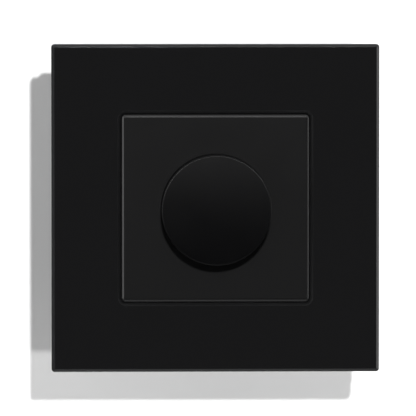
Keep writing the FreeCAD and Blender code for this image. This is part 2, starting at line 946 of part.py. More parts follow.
def switch_plunger():
    body = new_body("switch_plunger")
    flange_front = plunger_back + size.plunger_flange_thickness
    seat = size.spring_width + size.running_clearance * 4
    socket = size.spindle_tail + size.running_clearance * 2
    add_layer(body, "head", flange_front, plunger_front, box(size.plunger_width, size.plunger_width))
    add_layer(body, "flange", plunger_back, flange_front, box(size.plunger_flange, size.plunger_flange))
    cut_layer(body, "spring_seat", plunger_back, plunger_back + size.spring_seat, disc(seat))
    cut_layer(
        body, "spindle_socket", spindle_tail_end - size.running_clearance, plunger_front, disc(socket),
    )


def return_spring():
    body = new_body("return_spring")
    inside = size.spring_width - size.spring_wire * 2
    add_layer(
        body, "coil", switch_floor_front, plunger_back + size.spring_seat, disc(size.spring_width),
        disc(inside),
    )


def contact_bridge():
    body = new_body("contact_bridge")
    bridge_back = plunger_back - size.bridge_thickness
    rivet_back = bridge_back - size.contact_height
    hole = size.spring_width + size.running_clearance * 8
    add_layer(
        body, "strip", bridge_back, plunger_back, box(size.bridge_length, size.bridge_width),
        box(hole, hole),
    )
    for side in SIDES:
        add_layer(body, f"rivet_{side + 1}", rivet_back, bridge_back,
                  box(size.contact_width, size.contact_width, size.contact_place * side, 0))


def switch_contacts():
    body = new_body("switch_contacts")
    bridge_rivet_back = plunger_back - size.bridge_thickness - size.contact_height
    pad_front = bridge_rivet_back - size.push_travel - size.running_clearance
    pad_back = pad_front - size.contact_height
    foot_back = pad_back - size.contact_strip
    wall = size.switch_width / 2 - size.switch_wall
    foot_start = size.contact_place - size.contact_width / 2
    for side in SIDES:
        leg_middle = (wall - size.contact_strip / 2) * side
        foot_middle = (wall + foot_start) / 2 * side
        add_layer(body, f"leg_{side + 1}", switch_floor_front, board_back,
                  box(size.contact_strip, size.contact_strip_width, leg_middle, 0))
        add_layer(body, f"foot_{side + 1}", foot_back, pad_back,
                  box(wall - foot_start, size.contact_strip_width, foot_middle, 0))
        add_layer(body, f"pad_{side + 1}", pad_back, pad_front,
                  box(size.contact_width, size.contact_width, size.contact_place * side, 0))


# Circuit board and its parts


def circuit_board():
    body = new_body("circuit_board")
    add_layer(body, "board", board_back, board_front, cut_corner_box(
        board_half_width, board_half_height, size.housing_cut_corner))
    cut_layer(body, "spindle_hole", board_back, board_front, disc(size.spindle_hole))
    notch = size.housing_boss + size.board_clearance * 2
    for index, (across, up) in enumerate(screw_places()):
        cut_layer(body, f"boss_notch_{index}", board_back, board_front, disc(notch, across, up))


def triac():
    body = new_body("triac")
    body_front = board_front + size.triac_thickness
    add_layer(body, "case", board_front, body_front,
              box(size.triac_width, triac_height, 0, triac_up))
    lead_length = size.triac_lead * 2
    lead_middle = triac_up - triac_height / 2
    for side in SIDES:
        lead = box(size.triac_lead, lead_length, size.triac_width / 4 * side, lead_middle)
        add_layer(body, f"lead_{side + 1}", board_front, board_front + size.triac_lead, lead)


def heat_sink():
    body = new_body("heat_sink")
    base_back = board_front + size.triac_thickness
    base_front = base_back + size.heat_sink_base
    add_layer(body, "base", base_back, base_front, box(boss_inside * 2, triac_height, 0, triac_up))
    for index in (-2, -1, 0, 1, 2):
        across = fin_pitch * index
        add_layer(body, f"fin_{index + 2}", base_front, cover_back,
                  box(size.heat_sink_fin, triac_height, across, triac_up))


def fuse():
    body = new_body("fuse")
    radius = size.fuse_width / 2
    top = board_front + size.fuse_height
    add_turned(
        body, "can", outline((0, board_front), (radius, board_front), (radius, top), (0, top)), 0,
        -fuse_down,
    )


def board_resistors():
    body = new_body("board_resistors")
    resistor_front = board_front + size.resistor_height
    for across in SIDES:
        for up in SIDES:
            add_layer(
                body, f"resistor_{across + 1}{up + 1}", board_front, resistor_front,
                box(size.resistor_width, size.resistor_length,
                    resistor_across * across, size.resistor_up * up),
            )


def choke_levels():
    """Back and front level of the choke's core, lifted off the board by its winding."""
    core_front = board_back - size.winding_thickness
    return core_front - size.choke_height, core_front


def choke_core():
    body = new_body("choke_core")
    low, high = choke_levels()
    add_across(body, "rod", above_switch, part_end,
               box(size.choke_width, size.choke_height, -choke_across, (low + high) / 2))


def choke_winding():
    body = new_body("choke_winding")
    low, high = choke_levels()
    level = (low + high) / 2
    layer = size.winding_thickness
    gap = size.running_clearance
    add_across(body, "turns", above_switch + size.winding_inset, part_end - size.winding_inset,
               box(size.choke_width + layer * 2, size.choke_height + layer * 2, -choke_across, level),
               box(size.choke_width + gap * 2, size.choke_height + gap * 2, -choke_across, level))


def suppression_capacitor():
    body = new_body("suppression_capacitor")
    add_layer(body, "case", board_back - size.capacitor_height, board_back,
              box(size.capacitor_width, capacitor_length, capacitor_across, capacitor_up))


# Wire terminals


def terminal_places():
    return [terminal_pitch * index for index in (-1, 0, 1)]


def clamp_levels():
    """Back and front level of the brass clamps, which stand on the board."""
    return board_back - size.clamp_depth, board_back


def terminal_block():
    body = new_body("terminal_block")
    clamp_low, clamp_high = clamp_levels()
    chamber_height = size.clamp_height + size.running_clearance * 2
    add_layer(body, "block", housing_back, board_back,
              box(boss_inside * 2, size.terminal_height, 0, -terminal_down))
    for index, across in enumerate(terminal_places()):
        cut_layer(body, f"chamber_{index}", clamp_low, clamp_high,
                  box(chamber_width, chamber_height, across, -terminal_down))
        cut_layer(body, f"screw_well_{index}", housing_back, clamp_low,
                  disc(size.terminal_well, across, -terminal_down))
        cut_across(body, f"wire_entry_{index}", -board_half_height, -terminal_down,
                   box(wire_entry, wire_entry, across, wire_level()))


def wire_level():
    """Level of the wires, in the middle of the clamps' openings."""
    return clamp_levels()[0] + size.clamp_bridge + clamp_opening / 2


def terminal_clamps():
    body = new_body("terminal_clamps")
    clamp_low, clamp_high = clamp_levels()
    for index, across in enumerate(terminal_places()):
        add_layer(body, f"clamp_{index}", clamp_low, clamp_high,
                  box(clamp_width, size.clamp_height, across, -terminal_down))
    for index, across in enumerate(terminal_places()):
        cut_across(body, f"wire_opening_{index}", -terminal_down - size.clamp_height / 2,
                   size.clamp_height / 2 - terminal_down,
                   box(clamp_opening, clamp_opening, across, wire_level()))
        cut_layer(body, f"screw_bore_{index}", clamp_low, clamp_low + size.clamp_bridge,
                  disc(size.terminal_screw_width + size.thread_clearance * 2, across, -terminal_down))


def screw_profile(shank, head, tip, seat, top):
    """Half section of a screw with a cylinder head."""
    return outline(
        (0, tip), (shank / 2, tip), (shank / 2, seat), (head / 2, seat), (head / 2, top), (0, top),
    )


def terminal_screws():
    body = new_body("terminal_screws")
    clamp_low, clamp_high = clamp_levels()
    tip = clamp_low + size.clamp_bridge
    back = clamp_low - size.terminal_screw_stickout
    for index, across in enumerate(terminal_places()):
        add_layer(
            body, f"screw_{index}", back, tip, disc(size.terminal_screw_width, across, -terminal_down),
        )
        cut_layer(body, f"slot_{index}", back, back + size.driver_slot_depth,
                  box(size.terminal_screw_width, size.driver_slot_width, across, -terminal_down))


# Module housing and support plate


def screw_places():
    """Middles of the two screws that join housing, cover and plate, on one diagonal."""
    return [(housing_screw_across * side, housing_screw_up * -side) for side in SIDES]


def support_plate():
    body = new_body("support_plate")
    half = plate_side / 2
    add_layer(body, "plate", WALL, plate_front, round_box(plate_side, plate_side, size.plate_corner))
    cut_layer(body, "neck_hole", WALL, plate_front, disc(size.neck_width + size.neck_clearance * 2))
    for side in SIDES:
        cut_layer(body, f"claw_hole_{side + 1}", WALL, plate_front,
                  disc(size.claw_plate_hole, claw_screw_place * side))
        notch = half * side
        cut_layer(body, f"side_notch_{side + 1}", WALL, plate_front,
                  box(size.plate_notch_depth * 2, size.plate_notch_width, notch, 0))
        cut_layer(body, f"end_notch_{side + 1}", WALL, plate_front,
                  box(size.plate_notch_width, size.plate_notch_depth * 2, 0, notch))
        cut_layer(body, f"box_slot_{side + 1}", WALL, plate_front,
                  slot(size.box_slot_length, size.box_slot_width, box_slot_middle * side))
        cut_layer(body, f"kidney_slot_{side + 1}", WALL, plate_front,
                  ring_sector(kidney_inside, kidney_outside, UP_ANGLE * side, size.kidney_half_angle))
    hole = size.housing_screw_width + size.housing_screw_clearance * 2
    for index, (across, up) in enumerate(screw_places()):
        cut_layer(body, f"housing_screw_hole_{index}", WALL, plate_front, disc(hole, across, up))


def module_cover():
    body = new_body("module_cover")
    add_layer(body, "plate", cover_back, WALL,
              cut_corner_box(size.housing_half_width, size.housing_half_height, size.housing_cut_corner))
    cut_layer(body, "neck_hole", cover_back, WALL, disc(size.neck_width + size.neck_clearance * 2))
    hole = size.housing_screw_width + size.housing_screw_clearance * 2
    for index, (across, up) in enumerate(screw_places()):
        cut_layer(body, f"screw_hole_{index}", cover_back, WALL, disc(hole, across, up))


def housing_screws():
    body = new_body("housing_screws")
    head_front = plate_front + size.housing_screw_head_height
    for index, (across, up) in enumerate(screw_places()):
        half_section = screw_profile(
            size.housing_screw_width, size.housing_screw_head, -size.housing_screw_length,
            plate_front, head_front,
        )
        add_turned(body, f"screw_{index}", half_section, across, up)
        cut_layer(body, f"slot_{index}", head_front - size.driver_slot_depth, head_front,
                  box(size.housing_screw_head, size.driver_slot_width, across, up))


def rear_housing():
    body = new_body("rear_housing")
    add_layer(body, "block", housing_back, cover_back,
              cut_corner_box(size.housing_half_width, size.housing_half_height, size.housing_cut_corner))
    rounding(body, "back_round", size.housing_edge_round, housing_back, 0, size.housing_half_height)
    inner_half_width = size.housing_half_width - size.housing_wall
    inner_half_height = size.housing_half_height - size.housing_wall
    cut_layer(body, "cavity", housing_floor_front, cover_back,
              cut_corner_box(inner_half_width, inner_half_height, size.housing_cut_corner))
    add_claw_guides(body)
    for index, (across, up) in enumerate(screw_places()):
        add_layer(
            body, f"boss_{index}", housing_floor_front, cover_back, disc(size.housing_boss, across, up),
        )
    for index, (across, up) in enumerate(screw_places()):
        cut_layer(body, f"boss_bore_{index}", -size.housing_screw_length - size.end_gap, cover_back,
                  disc(size.housing_screw_width, across, up))
    cut_terminal_window(body)
    for index in range(4):
        up = size.vent_slot_up + size.vent_slot_pitch * index
        cut_layer(body, f"vent_{index}", housing_back, housing_floor_front,
                  box(size.vent_slot_length, size.vent_slot_width, 0, up))


def cut_terminal_window(body):
    """Opening in the floor for the terminal block and three wire entries in the wall below."""
    gap = size.end_gap
    wall_outside = -size.housing_half_height
    cut_layer(body, "terminal_window", housing_back, housing_floor_front,
              box((boss_inside + gap) * 2, size.terminal_height + gap * 2, 0, -terminal_down))
    for index, across in enumerate(terminal_places()):
        cut_across(body, f"wire_entry_{index}", wall_outside, wall_outside + size.housing_wall,
                   box(wire_entry, wire_entry, across, wire_level()))


def claw_ramp_place(level):
    """How far out the claw ramp's surface lies at one level."""
    return claw_ramp_start + (level - claw_flange_front) * claw_ramp_slope


def add_claw_guides(body):
    """Ramps that push the claws outwards and lugs that steady the ends of their screws."""
    inside = size.housing_half_width - size.housing_wall / 2
    lug_outside = claw_screw_place + size.claw_screw_width / 2 + size.claw_fork_gap * 2
    ramp_top = claw_flange_front + size.claw_travel + size.end_gap
    ramp_reach = claw_ramp_place(ramp_top)
    ramp_foot = claw_flange_front - size.claw_rib_start / claw_ramp_slope
    gusset_top = ramp_top + (ramp_reach - size.housing_half_width)
    rib_middle = (claw_rib_inside + claw_rib_outside) / 2
    for side in SIDES:
        profile = outline(
            (inside * side, ramp_foot),
            (size.housing_half_width * side, ramp_foot),
            (ramp_reach * side, ramp_top),
            (size.housing_half_width * side, gusset_top),
            (inside * side, gusset_top),
        )
        for other in SIDES:
            middle = rib_middle * other
            add_across(body, f"claw_ramp_{side + 1}{other + 1}", middle - size.claw_rib_width / 2,
                       middle + size.claw_rib_width / 2, profile)
        lug_middle = (inside + lug_outside) / 2 * side
        add_layer(body, f"claw_lug_{side + 1}", claw_lug_back, claw_lug_front,
                  box(lug_outside - inside, size.claw_half_width * 2, lug_middle, 0))
        cut_layer(body, f"claw_lug_bore_{side + 1}", claw_lug_back, claw_lug_front,
                  disc(size.claw_screw_width + size.end_gap, claw_screw_place * side))


# Spreading claws


def claw_screw(name, side):
    body = new_body(name)
    head_front = plate_front + size.claw_screw_head_height
    add_turned(body, "screw", screw_profile(
        size.claw_screw_width, size.claw_screw_head, claw_lug_back, plate_front, head_front),
        claw_screw_place * side)
    cut_layer(body, "slot", head_front - size.driver_slot_depth, head_front,
              box(size.claw_screw_head, size.driver_slot_width, claw_screw_place * side, 0))


def claw_nut(name, side):
    body = new_body(name)
    place = claw_screw_place * side
    bore = size.claw_screw_width + size.thread_clearance * 2
    add_layer(body, "square", claw_nut_back, claw_nut_front,
              box(size.claw_nut_width, size.claw_nut_width, place, 0), disc(bore, place))


def claw(name, side):
    body = new_body(name)
    slant = size.claw_slide_gap / cosine(size.claw_ramp_angle)
    tooth_back = -size.claw_leg_end
    tooth_front = tooth_back + size.claw_tooth_rise
    tooth_slope = size.claw_tooth_rise / 2
    points = (
        (claw_ramp_place(claw_flange_back) + slant, claw_flange_back),
        (claw_leg_outside, claw_flange_back),
        (claw_leg_outside, tooth_back),
        (claw_leg_outside + size.claw_tooth_reach, tooth_front - tooth_slope / 2),
        (claw_leg_outside + size.claw_tooth_reach - size.claw_sheet / 2, tooth_front + tooth_slope / 2),
        (claw_leg_inside, tooth_back + size.claw_sheet / 2),
        (claw_leg_inside, claw_flange_front),
        (claw_ramp_place(claw_flange_front) + slant, claw_flange_front),
    )
    profile = outline(*[(across * side, level) for across, level in points])
    add_across(body, "strip", -size.claw_half_width, size.claw_half_width, profile)
    fork_outside = claw_screw_place + size.claw_screw_width / 2 + size.claw_fork_gap
    fork_inside = size.housing_half_width
    fork_width = size.claw_screw_width + size.claw_fork_gap * 2
    cut_layer(body, "fork_slot", claw_flange_back, claw_flange_front,
              box(fork_outside - fork_inside, fork_width, (fork_outside + fork_inside) / 2 * side, 0))
    notch_tip = claw_leg_outside * side
    notch_base = (claw_leg_outside + size.claw_tooth_reach) * side
    half_notch = size.claw_tooth_notch / 2
    for index in SIDES:
        middle = size.claw_tooth_notch * index
        cut_layer(body, f"tooth_notch_{index + 1}", tooth_back, tooth_front + size.claw_sheet, outline(
            (notch_tip, middle),
            (notch_base, middle - half_notch),
            (notch_base, middle + half_notch),
        ))


def check_features():
    """Stop at a failed feature, a cut that removes nothing or a broken solid."""
    for item in doc.Objects:
        if "Invalid" in item.State or "Error" in item.State:
            raise RuntimeError(f"{item.Name} failed: {item.State}")
        if item.TypeId in ("PartDesign::Pocket", "PartDesign::Groove"):
            if item.BaseFeature.Shape.Volume - item.Shape.Volume < NEAR:
                raise RuntimeError(f"{item.Name} cuts nothing")
    for body in bodies():
        if body.Shape.isNull() or not body.Shape.isValid():
            raise RuntimeError(f"{body.Label} has a broken shape")


def bodies():
    return [item for item in doc.Objects if item.TypeId == "PartDesign::Body"]


# Build every piece
glass_frame()
frame_bonding_tape()
frame_carrier()
centre_plate()
neck_washer()
neck_nut()
dimmer_knob()
knob_spring_clip()
spindle()
spindle_circlip()
pot_bushing()
pot_housing()
track_board()
resistive_track()
wiper_rotor()
wiper_contact()
push_switch_housing()
switch_plunger()
return_spring()
contact_bridge()
switch_contacts()
circuit_board()
triac()
heat_sink()
fuse()
board_resistors()
choke_core()
choke_winding()
suppression_capacitor()
terminal_block()
terminal_clamps()
terminal_screws()
support_plate()
module_cover()
housing_screws()
rear_housing()
for side_name, side_sign in (("left", -1), ("right", 1)):
    claw_screw(f"{side_name}_claw_screw", side_sign)
    claw_nut(f"{side_name}_claw_nut", side_sign)
    claw(f"{side_name}_claw", side_sign)

doc.recompute()
check_features()

os.makedirs("parts", exist_ok=True)
for body in bodies():
    body.Shape.exportStep(os.path.join("parts", f"{body.Label}.step"))
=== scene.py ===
"""A flush-mounted push and turn dimmer: finishes, detailed pieces and the studio round them.

All lengths are in metres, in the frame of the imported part: +Z up the wall, +Y into the wall, knob towards -Y.
"""

import json
import logging
import math
from collections.abc import Callable, Iterable
from dataclasses import dataclass, field
from enum import Enum

import bmesh
import bpy
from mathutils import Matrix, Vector

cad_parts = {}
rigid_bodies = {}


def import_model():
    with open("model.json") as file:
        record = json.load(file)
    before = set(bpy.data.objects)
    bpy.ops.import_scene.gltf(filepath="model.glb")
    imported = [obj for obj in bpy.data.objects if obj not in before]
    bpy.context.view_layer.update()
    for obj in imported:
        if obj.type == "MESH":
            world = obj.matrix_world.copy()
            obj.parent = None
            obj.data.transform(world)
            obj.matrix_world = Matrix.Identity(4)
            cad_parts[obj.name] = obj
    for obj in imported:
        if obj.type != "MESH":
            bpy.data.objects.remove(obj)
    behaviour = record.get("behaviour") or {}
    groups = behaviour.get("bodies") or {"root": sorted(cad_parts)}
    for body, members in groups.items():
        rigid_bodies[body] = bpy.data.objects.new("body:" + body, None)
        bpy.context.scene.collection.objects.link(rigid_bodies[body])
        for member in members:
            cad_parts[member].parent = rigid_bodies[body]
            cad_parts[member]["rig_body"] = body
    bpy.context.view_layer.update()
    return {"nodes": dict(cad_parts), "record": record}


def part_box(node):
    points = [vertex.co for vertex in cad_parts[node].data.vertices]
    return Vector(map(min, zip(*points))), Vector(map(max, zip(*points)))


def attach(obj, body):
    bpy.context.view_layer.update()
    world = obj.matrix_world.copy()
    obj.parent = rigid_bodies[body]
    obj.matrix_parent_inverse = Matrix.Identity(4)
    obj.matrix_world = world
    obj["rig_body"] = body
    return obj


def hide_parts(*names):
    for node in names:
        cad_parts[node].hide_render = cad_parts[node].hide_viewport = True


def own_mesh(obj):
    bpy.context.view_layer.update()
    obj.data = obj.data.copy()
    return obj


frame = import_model()

LOG = logging.getLogger("dimmer")
MM = 0.001
FULL_TURN = math.tau
QUARTER_TURN = math.pi / 2
# Edges that turn less than this many degrees are shaded smooth.
SMOOTH_LIMIT = 50.0
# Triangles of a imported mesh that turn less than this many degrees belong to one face.
FLAT_LIMIT = 1.0
# The same for a face that easing has cut up.
EASED_FLAT_LIMIT = 0.5
# A point is at a level when it is this near to it.
LEVEL_SLACK = 0.02 * MM
# Steps of an eased edge.
EASED_STEPS = 2
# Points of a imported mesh, and of a spun form, that are merged when they are this near.
MESH_MERGE = 0.002 * MM
POLE_MERGE = 0.005 * MM
# Values that noise mostly stays between.
CALM_NOISE = (0.25, 0.75)
# How far one form sinks into another before they are joined.
OVERLAP = 0.2 * MM

Piece = bpy.types.Object
Material = bpy.types.Material
Tree = bpy.types.NodeTree
Node = bpy.types.Node
Socket = bpy.types.NodeSocket
Edge = bmesh.types.BMEdge
Face = bpy.types.MeshPolygon
Triple = tuple[float, float, float]
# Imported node, name of the piece that replaces it and width of its eased edges.
Form = tuple[str, str, float]
# Two levels along an axis, the lower one first.
Run = tuple[float, float]


class Side(Enum):
    """The two mirrored sides of the mechanism, as the user sees them."""

    LEFT = -1
    RIGHT = 1


# Colours and nodes


def linear(colour: str) -> tuple[float, float, float, float]:
    """Turns an sRGB hex colour into the linear values that a shader takes.

    Args:
        colour: Six hex digits after a hash sign.

    Returns:
        Red, green, blue and an alpha of one.
    """
    channels = [int(colour[start : start + 2], 16) / 255 for start in (1, 3, 5)]
    low_part, gain, offset, power = 0.04045, 12.92, 0.055, 2.4
    lit = [c / gain if c <= low_part else ((c + offset) / (1 + offset)) ** power for c in channels]
    return (lit[0], lit[1], lit[2], 1.0)


def add_node(tree: Tree, kind: str, settings: dict | None = None, links: dict | None = None) -> Node:
    """Adds a node with its settings and its incoming links.

    Args:
        tree: Node tree that gets the node.
        kind: Blender's name of the node's type.
        settings: Attributes of the node, or default values of its inputs, by name or number.
        links: Output sockets to join to the node's inputs, by input name or number.

    Returns:
        The new node.
    """
    node = tree.nodes.new(kind)
    for name, value in (settings or {}).items():
        if isinstance(name, str) and hasattr(node, name):
            setattr(node, name, value)
        else:
            node.inputs[name].default_value = value
    for name, output in (links or {}).items():
        tree.links.new(output, node.inputs[name])
    return node


def blank_material(name: str) -> tuple[Material, Tree, Socket]:
    """Makes an empty node material.

    Args:
        name: Name of the material.

    Returns:
        The material, its node tree and the Object coordinates' socket.
    """
    material = bpy.data.materials.new(name)
    material.use_nodes = True
    tree = material.node_tree
    tree.nodes.clear()
    return material, tree, add_node(tree, "ShaderNodeTexCoord").outputs["Object"]


class Texture(Enum):
    """What a pattern can be made of."""

    CLOUDS = "ShaderNodeTexNoise"
    CRYSTALS = "ShaderNodeTexVoronoi"
    WEAVE = "ShaderNodeTexChecker"


@dataclass(frozen=True)
class Pattern:
    """A texture with its octaves of finer noise. A factor below one draws it out along that axis."""

    texture: Texture = Texture.CLOUDS
    detail: float | None = 2.0
    drawn: Triple | None = None

    def lay(self, tree: Tree, place: Socket, size: float) -> Socket:
        """Adds the pattern's nodes.

        Args:
            tree: Node tree that gets them.
            place: Socket with the coordinates.
            size: Real size of one lump, crystal or thread.

        Returns:
            The socket with the pattern's value, from zero to one.
        """
        if self.drawn:
            place = add_node(tree, "ShaderNodeMapping", {"Scale": self.drawn}, {"Vector": place}).outputs[0]
        settings = {"Scale": 1 / size}
        if self.detail is not None:
            settings["Detail"] = self.detail
        texture = add_node(tree, self.texture.value, settings, {"Vector": place})
        if self.texture is Texture.CRYSTALS:
            return add_node(tree, "ShaderNodeSeparateColor", links={0: texture.outputs["Color"]}).outputs[0]
        return texture.outputs["Fac"]


# Finishes


@dataclass(frozen=True)
class Finish:
    """Two colours that blend by a pattern, an uneven gloss and a fine relief.

    The mottle is the size of the blend's pattern, which the gloss follows where no size of wear is given. The
    grain is the size of the relief's pattern and the depth its height. The polish and the dulling are how far
    the roughness goes below and above its value.
    """

    name: str
    dark: str
    light: str
    roughness: float
    grain: float = 0.25 * MM
    depth: float = 0.004 * MM
    mottle: float = 9 * MM
    ior: float = 1.5
    specular: float = 0.5
    metallic: float = 0.0
    polish: float = 0.03
    dulling: float = 0.03
    wear: float | None = None
    blend: Pattern = Pattern(detail=3.0)
    relief: Pattern = Pattern()

    def settings(self) -> dict[str, float]:
        """Constant values of the shader's sockets."""
        return {"IOR": self.ior, "Specular IOR Level": self.specular, "Metallic": self.metallic}

    def material(self) -> Material:
        """Builds the node material.

        Returns:
            The material.
        """
        made, tree, place = blank_material(self.name)
        blend = self.blend.lay(tree, place, self.mottle)
        worn = self.blend.lay(tree, place, self.wear) if self.wear else blend
        colours = {"data_type": "RGBA", 6: linear(self.dark), 7: linear(self.light)}
        calm_low, calm_high = CALM_NOISE
        low, high = self.roughness - self.polish, self.roughness + self.dulling
        gloss = {"From Min": calm_low, "From Max": calm_high, "To Min": low, "To Max": high}
        links = {
            "Base Color": add_node(tree, "ShaderNodeMix", colours, {0: blend}).outputs[2],
            "Roughness": add_node(tree, "ShaderNodeMapRange", gloss, {"Value": worn}).outputs[0],
        }
        if self.depth:
            height = self.relief.lay(tree, place, self.grain)
            bump = {"Strength": 1.0, "Distance": self.depth}
            links["Normal"] = add_node(tree, "ShaderNodeBump", bump, {"Height": height}).outputs[0]
        shader = add_node(tree, "ShaderNodeBsdfPrincipled", self.settings(), links)
        add_node(tree, "ShaderNodeOutputMaterial", links={"Surface": shader.outputs[0]})
        return made


@dataclass(frozen=True)
class MouldedPlastic(Finish):
    """Injection moulded plastic: a fine eroded texture from the mould and slight flow mottling."""


@dataclass(frozen=True)
class PaintedGlass(Finish):
    """Float glass with black paint behind it: a deep black under a polished skin with a faint waviness."""

    grain: float = 28 * MM
    depth: float = 0.0012 * MM
    mottle: float = 12 * MM
    ior: float = 1.52
    polish: float = 0.0
    dulling: float = 0.02
    relief: Pattern = Pattern(detail=1.0)


@dataclass(frozen=True)
class GroundGlass(Finish):
    """Ground and polished glass edge: greyer than the face, partly its own tone and partly painted light let in
    by the cut.

    The grinding lines are 0.3 mm apart, coarser than real ones so that they show.
    """

    grain: float = 0.3 * MM
    depth: float = 0.002 * MM
    mottle: float = 6 * MM
    ior: float = 1.52
    polish: float = 0.04
    dulling: float = 0.06
    wear: float | None = 2 * MM
    blend: Pattern = Pattern()


@dataclass(frozen=True)
class ZincSheet(Finish):
    """Hot galvanised steel sheet: crystals of zinc about 2 mm wide, each with its own sheen."""

    grain: float = 0.3 * MM
    depth: float = 0.003 * MM
    mottle: float = 2.2 * MM
    metallic: float = 1.0
    dulling: float = 0.05
    blend: Pattern = Pattern(Texture.CRYSTALS, detail=None)
    relief: Pattern = Pattern(detail=3.0, drawn=(0.08, 1.0, 1.0))


@dataclass(frozen=True)
class TurnedMetal(Finish):
    """Small turned or rolled metal part: fine tool lines round it and a slightly uneven plating."""

    depth: float = 0.003 * MM
    mottle: float = 1.6 * MM
    metallic: float = 1.0
    polish: float = 0.05
    dulling: float = 0.08
    relief: Pattern = Pattern(drawn=(0.15, 1.0, 0.15))


@dataclass(frozen=True)
class EnamelledWire(Finish):
    """Copper wire drawn through lacquer: a warm metal under a clear amber coat with a sharp shine."""

    depth: float = 0.0
    mottle: float = 2.5 * MM
    metallic: float = 0.8
    polish: float = 0.0
    dulling: float = 0.13
    coat: float = 0.6
    coat_roughness: float = 0.12

    def settings(self) -> dict[str, float]:
        """Constant values of the shader's sockets, with the lacquer's."""
        return super().settings() | {"Coat Weight": self.coat, "Coat Roughness": self.coat_roughness}


@dataclass(frozen=True)
class Laminate(Finish):
    """Woven glass or paper laminate: a crossed weave under a thin even lacquer."""

    grain: float = 0.6 * MM
    depth: float = 0.01 * MM
    mottle: float = 4 * MM
    polish: float = 0.0
    dulling: float = 0.0
    relief: Pattern = Pattern(Texture.WEAVE, detail=None)


FINISHES = {
    # Gloss black pane, deeper than any plastic beside it.
    "black_glass": PaintedGlass("painted float glass", "#060607", "#08080a", 0.03),
    # Closed cell foam, dull and slightly pitted.
    "foam_tape": MouldedPlastic("acrylic foam tape", "#161616", "#202020", 0.85, 0.4 * MM, 0.03 * MM),
    # Plain moulded polycarbonate, not textured as finely as the visible plate.
    "carrier_plastic": MouldedPlastic("moulded black polycarbonate", "#161617", "#1d1d1f", 0.45, 0.5 * MM),
    # Fine matt texture that shows as an even dark grey.
    "centre_plastic": MouldedPlastic(
        "fine matt black polycarbonate", "#09090a", "#0b0b0c", 0.42, 0.3 * MM, specular=0.1
    ),
    # Smoother than the plate, so it shows a gradient from top to bottom.
    "knob_plastic": MouldedPlastic(
        "satin black moulded plastic", "#040405", "#060607", 0.35, 0.3 * MM, 0.002 * MM, specular=0.06
    ),
    # Bright crystals on stamped sheet.
    "galvanised_steel": ZincSheet("galvanised steel sheet", "#9a9ea2", "#b6b9bc", 0.36),
    # Bluish bright zinc on rolled screws.
    "zinc_screw": TurnedMetal("zinc plated steel", "#7f8488", "#a9adb0", 0.3),
    # Dark oil-tempered strip.
    "spring_steel": TurnedMetal("blued spring steel", "#3c3f46", "#585c63", 0.28),
    # Warm silver of nickel over brass.
    "nickel_brass": TurnedMetal("nickel plated brass", "#8c887c", "#b3aea0", 0.25),
    # Yellow metal, turned slightly brown by handling.
    "bare_brass": TurnedMetal("bare brass", "#a98442", "#c6a35a", 0.3),
    # Redder than brass and rolled thin.
    "bronze": TurnedMetal("phosphor bronze strip", "#7d4f2b", "#b07a48", 0.3),
    # Glass filled polyamide: dull, with fibres that mottle the grey.
    "housing_plastic": MouldedPlastic(
        "anthracite glass filled polyamide", "#232426", "#2e2f32", 0.55, 0.35 * MM
    ),
    # Unfilled polyamide, milky light grey.
    "cover_plastic": MouldedPlastic("light grey polyamide", "#b3b3ae", "#c3c3be", 0.5, 0.5 * MM),
    # Flame retardant polyamide of the terminals.
    "terminal_plastic": MouldedPlastic("grey polyamide", "#85898b", "#979b9d", 0.5, 0.5 * MM),
    # Phenolic with a hard shine.
    "pot_plastic": MouldedPlastic("black phenolic", "#141210", "#1d1a17", 0.3, 0.6 * MM),
    # Slippery white acetal.
    "white_plastic": MouldedPlastic("white acetal", "#c9c9c3", "#d8d8d2", 0.35, 0.6 * MM),
    # Green mask over woven glass.
    "board_laminate": Laminate("green glass laminate", "#123f1c", "#1d5a2a", 0.35),
    # Matt printed carbon.
    "carbon_film": MouldedPlastic("printed carbon film", "#111111", "#1b1b1b", 0.7, 0.2 * MM),
    # Brown paper laminate of the track's base.
    "brown_laminate": Laminate("phenolic paper laminate", "#5a3418", "#6d4322", 0.45, 0.3 * MM),
    # Transfer moulded epoxy with a faint shine.
    "epoxy": MouldedPlastic("black moulded epoxy", "#141414", "#1c1c1c", 0.4, 0.3 * MM),
    # Drawn aluminium with lines along the profile.
    "aluminium": TurnedMetal("extruded aluminium", "#a5a7a9", "#c8cacb", 0.35, 0.4 * MM),
    # Pressed iron powder, dark and dull.
    "ferrite": MouldedPlastic("pressed iron powder", "#2b2b2c", "#3a3a3b", 0.6, 0.3 * MM, 0.02 * MM),
    # Lacquered wire, red brown and shiny.
    "enamelled_copper": EnamelledWire("enamelled copper wire", "#7d3a18", "#b5642f", 0.25),
    # Potted plastic box.
    "capacitor_plastic": MouldedPlastic("yellow plastic box", "#b98a1e", "#cc9c2b", 0.35, 0.6 * MM),
    # Dipped lacquer.
    "resistor_lacquer": MouldedPlastic("beige lacquer", "#a58a5e", "#b69b70", 0.3, 0.6 * MM),
}
# Part of this grey is painted light, the rest the glass edge's own tone.
GLASS_EDGE_PAINTED_LIGHT = GroundGlass("ground glass edge", "#1c1d1e", "#232425", 0.12)
# The window's cut is painted up to its arris, so it stays nearly as dark as the face; the little by which it is
# lighter is painted light.
WINDOW_EDGE_PAINTED_LIGHT = GroundGlass("painted glass edge", "#1a1a1b", "#1f1f20", 0.5, specular=0.2)
# The mould's radius is left unetched, so it catches the light beside the matt face; its colour, lighter than
# the plate's, adds a painted highlight to that line.
SMOOTH_RADIUS_PAINTED_HIGHLIGHT = MouldedPlastic(
    "smooth black polycarbonate", "#141415", "#181819", 0.24, 0.5 * MM, 0.002 * MM, specular=0.85
)
